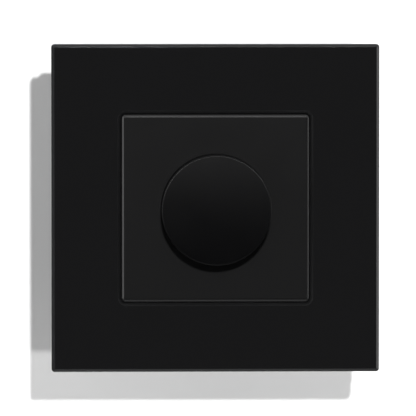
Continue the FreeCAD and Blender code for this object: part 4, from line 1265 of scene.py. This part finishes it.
@dataclass
class Studio:
    """A pale floor and backdrop, soft light and the camera at the photograph's viewing angle.

    The gradient gives the surroundings' strength at each elevation. A sun has a name, a strength, an apparent
    size in degrees and the direction in which its light travels, and a softbox a name, a power in watts, a
    width and a height.
    """

    floor_level: float = -62 * MM
    backdrop_level: float = 26.5 * MM
    half_width: float = 1.6
    paper_mottle: float = 40 * MM
    distance: float = 1.5
    view_width: float = 103.95 * MM
    sensor: float = 36.0
    clip: Run = (0.05, 10.0)
    aim: tuple[float, float] = (-1.87 * MM, 0.05 * MM)
    from_left: float = 1.67
    from_above: float = 2.83
    front_level: float = -10.8 * MM
    front_elevation: float = 12.5
    gradient: tuple[tuple[float, float], ...] = (
        (-90, 0.45), (-40, 0.15), (-18, 0.03), (-8.5, 0.03), (-6, 0.175), (0, 0.175), (4, 0.05), (11, 0.05),
        (16, 0.4), (25, 0.62), (60, 0.55), (90, 0.4),
    )
    patches: tuple[LightPatch, ...] = (
        LightPatch(azimuth=-58, elevation=3, core=14, fade=28, strength=1.2),
        LightPatch(azimuth=66, elevation=3, core=6, fade=18, strength=0.5),
        LightPatch(azimuth=95, elevation=0, core=10, fade=24, strength=1.15),
        LightPatch(azimuth=180, elevation=25, core=25, fade=75, strength=0.9),
    )
    paper_suns: tuple[tuple[str, float, float, Triple], ...] = (
        ("paper_light", 5.0, 2.0, (-5.6, 37.3, -10.4)),
        ("paper_fill", 1.55, 3.0, (-5.6, 37.3, 2.8)),
    )
    level_sun: tuple[str, float, float] = ("paper_level", 0.7, 3.0)
    front_sun: tuple[str, float, float] = ("front_light", 1.1, 3.0)
    strip: tuple[str, float, float, float] = ("knob_strip", 8.0, 1.3, 0.08)
    strip_distance: float = 1.2
    rear_box: tuple[str, float, float, float] = ("rear_softbox", 14.0, 0.8, 0.8)
    rear_place: Triple = (0.6, 1.6, 1.0)

    def paper(self) -> Material:
        """Makes white paper that shows from its front only, so that it never hides the object.

        Returns:
            The material.
        """
        made, tree, place = blank_material("white paper sweep")
        clouds = Pattern().lay(tree, place, self.paper_mottle)
        whites = {"data_type": "RGBA", 6: linear("#b9b9b9"), 7: linear("#bfbfbf")}
        tone = add_node(tree, "ShaderNodeMix", whites, {0: clouds}).outputs[2]
        sheet = add_node(tree, "ShaderNodeBsdfDiffuse", links={"Color": tone}).outputs[0]
        clear = add_node(tree, "ShaderNodeBsdfTransparent").outputs[0]
        back = add_node(tree, "ShaderNodeNewGeometry").outputs["Backfacing"]
        one_way = add_node(tree, "ShaderNodeMixShader", links={0: back, 1: sheet, 2: clear}).outputs[0]
        add_node(tree, "ShaderNodeOutputMaterial", links={"Surface": one_way})
        return made

    def build_sweep(self) -> list[Piece]:
        """Adds the floor and the backdrop.

        Returns:
            The staged objects.
        """
        paper = self.paper()
        sheets = []
        for name, place, turn in (
            ("pale_floor", (0, 0, self.floor_level), 0),
            ("pale_backdrop", (0, self.backdrop_level, self.floor_level + self.half_width), QUARTER_TURN),
        ):
            deselect_all()
            bpy.ops.mesh.primitive_plane_add(size=self.half_width * 2, location=place, rotation=(turn, 0, 0))
            sheet = bpy.context.object
            sheet.name = name
            sheet.data.materials.append(paper)
            sheet.visible_glossy = False
            sheet.visible_shadow = False
            sheets.append(sheet)
        return sheets

    def build_world(self) -> None:
        """Surrounds the object with a dim studio: a gradient by height and a few soft patches of light."""
        world = bpy.data.worlds.new("studio surroundings")
        bpy.context.scene.world = world
        world.use_nodes = True
        tree = world.node_tree
        tree.nodes.clear()
        direction = add_node(tree, "ShaderNodeTexCoord").outputs["Generated"]
        parts = add_node(tree, "ShaderNodeSeparateXYZ", links={0: direction})
        ramp = add_node(tree, "ShaderNodeValToRGB")
        ramp.color_ramp.elements.remove(ramp.color_ramp.elements[1])
        for index, (elevation, value) in enumerate(self.gradient):
            spot = (1 + math.sin(math.radians(elevation))) / 2
            element = ramp.color_ramp.elements[0] if index == 0 else ramp.color_ramp.elements.new(spot)
            element.position = spot
            element.color = (value, value, value, 1)
        whole = {"From Min": -1.0, "From Max": 1.0}
        height = add_node(tree, "ShaderNodeMapRange", whole, {"Value": parts.outputs[2]}).outputs[0]
        tree.links.new(height, ramp.inputs[0])
        total = ramp.outputs[0]
        for patch in self.patches:
            glow = patch.glow(tree, direction)
            total = add_node(tree, "ShaderNodeMath", {"operation": "ADD"}, {0: total, 1: glow}).outputs[0]
        # The camera sees plain white where it looks past the paper.
        seen = add_node(tree, "ShaderNodeLightPath").outputs["Is Camera Ray"]
        white = {"data_type": "FLOAT", 3: 1.0}
        strength = add_node(tree, "ShaderNodeMix", white, {0: seen, 2: total}).outputs[0]
        background = add_node(tree, "ShaderNodeBackground", {"Color": (1, 1, 1, 1)}, {"Strength": strength})
        add_node(tree, "ShaderNodeOutputWorld", links={"Surface": background.outputs[0]})

    def hang(self, name: str, device: bpy.types.Light | bpy.types.Camera, toward: Vector) -> Piece:
        """Puts a light or a camera into the scene, at the origin.

        Args:
            name: Its name.
            device: The light or the camera.
            toward: Direction that it faces.

        Returns:
            Its object.
        """
        holder = bpy.data.objects.new(name, device)
        bpy.context.scene.collection.objects.link(holder)
        holder.rotation_mode = "QUATERNION"
        holder.rotation_quaternion = toward.to_track_quat("-Z", "Y")
        return holder

    def add_sun(self, name: str, strength: float, spread: float, toward: Vector) -> Piece:
        """Adds a far light.

        Args:
            name: Name of the light.
            strength: Its strength.
            spread: Its apparent size in degrees.
            toward: Direction in which its light travels.

        Returns:
            The light's object.
        """
        lamp = bpy.data.lights.new(name, "SUN")
        lamp.energy = strength
        lamp.angle = math.radians(spread)
        return self.hang(name, lamp, toward)

    def add_softbox(self, name: str, power: float, width: float, height: float, place: Vector) -> Piece:
        """Adds a rectangular soft light that faces the object.

        Args:
            name: Name of the light.
            power: Its power in watts.
            width: Its width.
            height: Its height.
            place: Where it stands.

        Returns:
            The light's object.
        """
        lamp = bpy.data.lights.new(name, "AREA")
        lamp.energy = power
        lamp.shape = "RECTANGLE"
        lamp.size = width
        lamp.size_y = height
        holder = self.hang(name, lamp, -place)
        holder.location = place
        return holder

    def link_light(self, lamp: Piece, pieces: list[Piece], reach: LightReach) -> None:
        """Lets a light reach only some pieces, or all pieces but those.

        Args:
            lamp: The light.
            pieces: The pieces that are named for it.
            reach: Whether the light reaches them or leaves them out.
        """
        group = bpy.data.collections.new(f"{lamp.name}_pieces")
        bpy.context.scene.collection.children.link(group)
        for piece in pieces:
            group.objects.link(piece)
        lamp.light_linking.receiver_collection = group
        for member in group.collection_objects:
            member.light_linking.link_state = reach.value

    def build_lights(self, sweep: list[Piece], knob: Piece) -> None:
        """Adds the lights: three for the paper, one in front and above, a strip for the knob and one behind.

        Args:
            sweep: Floor and backdrop, which the paper's lights alone reach.
            knob: The knob's cap, which has the strip instead of the front light.
        """
        paper_suns = [self.add_sun(*sun, Vector(toward)) for *sun, toward in self.paper_suns]
        paper_suns.append(self.add_sun(*self.level_sun, -self.toward_camera()))
        for lamp in paper_suns:
            self.link_light(lamp, sweep, LightReach.ONLY)
        lift = math.radians(self.front_elevation)
        front = Vector((0, -math.cos(lift), math.sin(lift)))
        self.link_light(self.add_sun(*self.front_sun, -front), [knob, *sweep], LightReach.ALL_BUT)
        strip = self.add_softbox(*self.strip, front * self.strip_distance)
        self.link_light(strip, [knob], LightReach.ONLY)
        self.add_softbox(*self.rear_box, Vector(self.rear_place))

    def toward_camera(self) -> Vector:
        """Direction from the object to the camera."""
        left, above = math.radians(self.from_left), math.radians(self.from_above)
        return Vector((-math.sin(left) * math.cos(above), -math.cos(left) * math.cos(above), math.sin(above)))

    def build_camera(self) -> None:
        """Puts the camera where the photograph was taken from."""
        lens = bpy.data.cameras.new("photo_camera")
        lens.sensor_width = self.sensor
        lens.lens = self.sensor * self.distance / self.view_width
        lens.clip_start, lens.clip_end = self.clip
        back = self.toward_camera()
        camera = self.hang("photo_camera", lens, -back)
        camera.location = Vector((self.aim[0], self.front_level, self.aim[1])) + back * self.distance
        bpy.context.scene.camera = camera

    def build(self, knob: Piece) -> None:
        """Builds the sweep, the surroundings, the lights and the camera.

        Args:
            knob: The knob's cap, which gets a light of its own.
        """
        sweep = self.build_sweep()
        self.build_world()
        self.build_lights(sweep, knob)
        self.build_camera()
        bpy.context.scene.view_settings.view_transform = "Standard"
        bpy.context.scene.view_settings.look = "None"


def main() -> None:
    """Builds every sub-assembly in order, then the studio."""
    logging.basicConfig(level=logging.INFO, format="%(message)s")
    shop = Workshop()
    assemblies = [
        GlassFrame(shop), CentrePlate(shop), Knob(shop), Neck(shop), MountingParts(shop), Module(shop),
        SpreadingClaw(shop, Side.LEFT), SpreadingClaw(shop, Side.RIGHT),
    ]
    for assembly in assemblies:
        assembly.build()
        LOG.info("%s is finished", type(assembly).__name__)
    Studio().build(bpy.data.objects["knob_cap"])
    deselect_all()


if __name__ == "__main__":
    main()
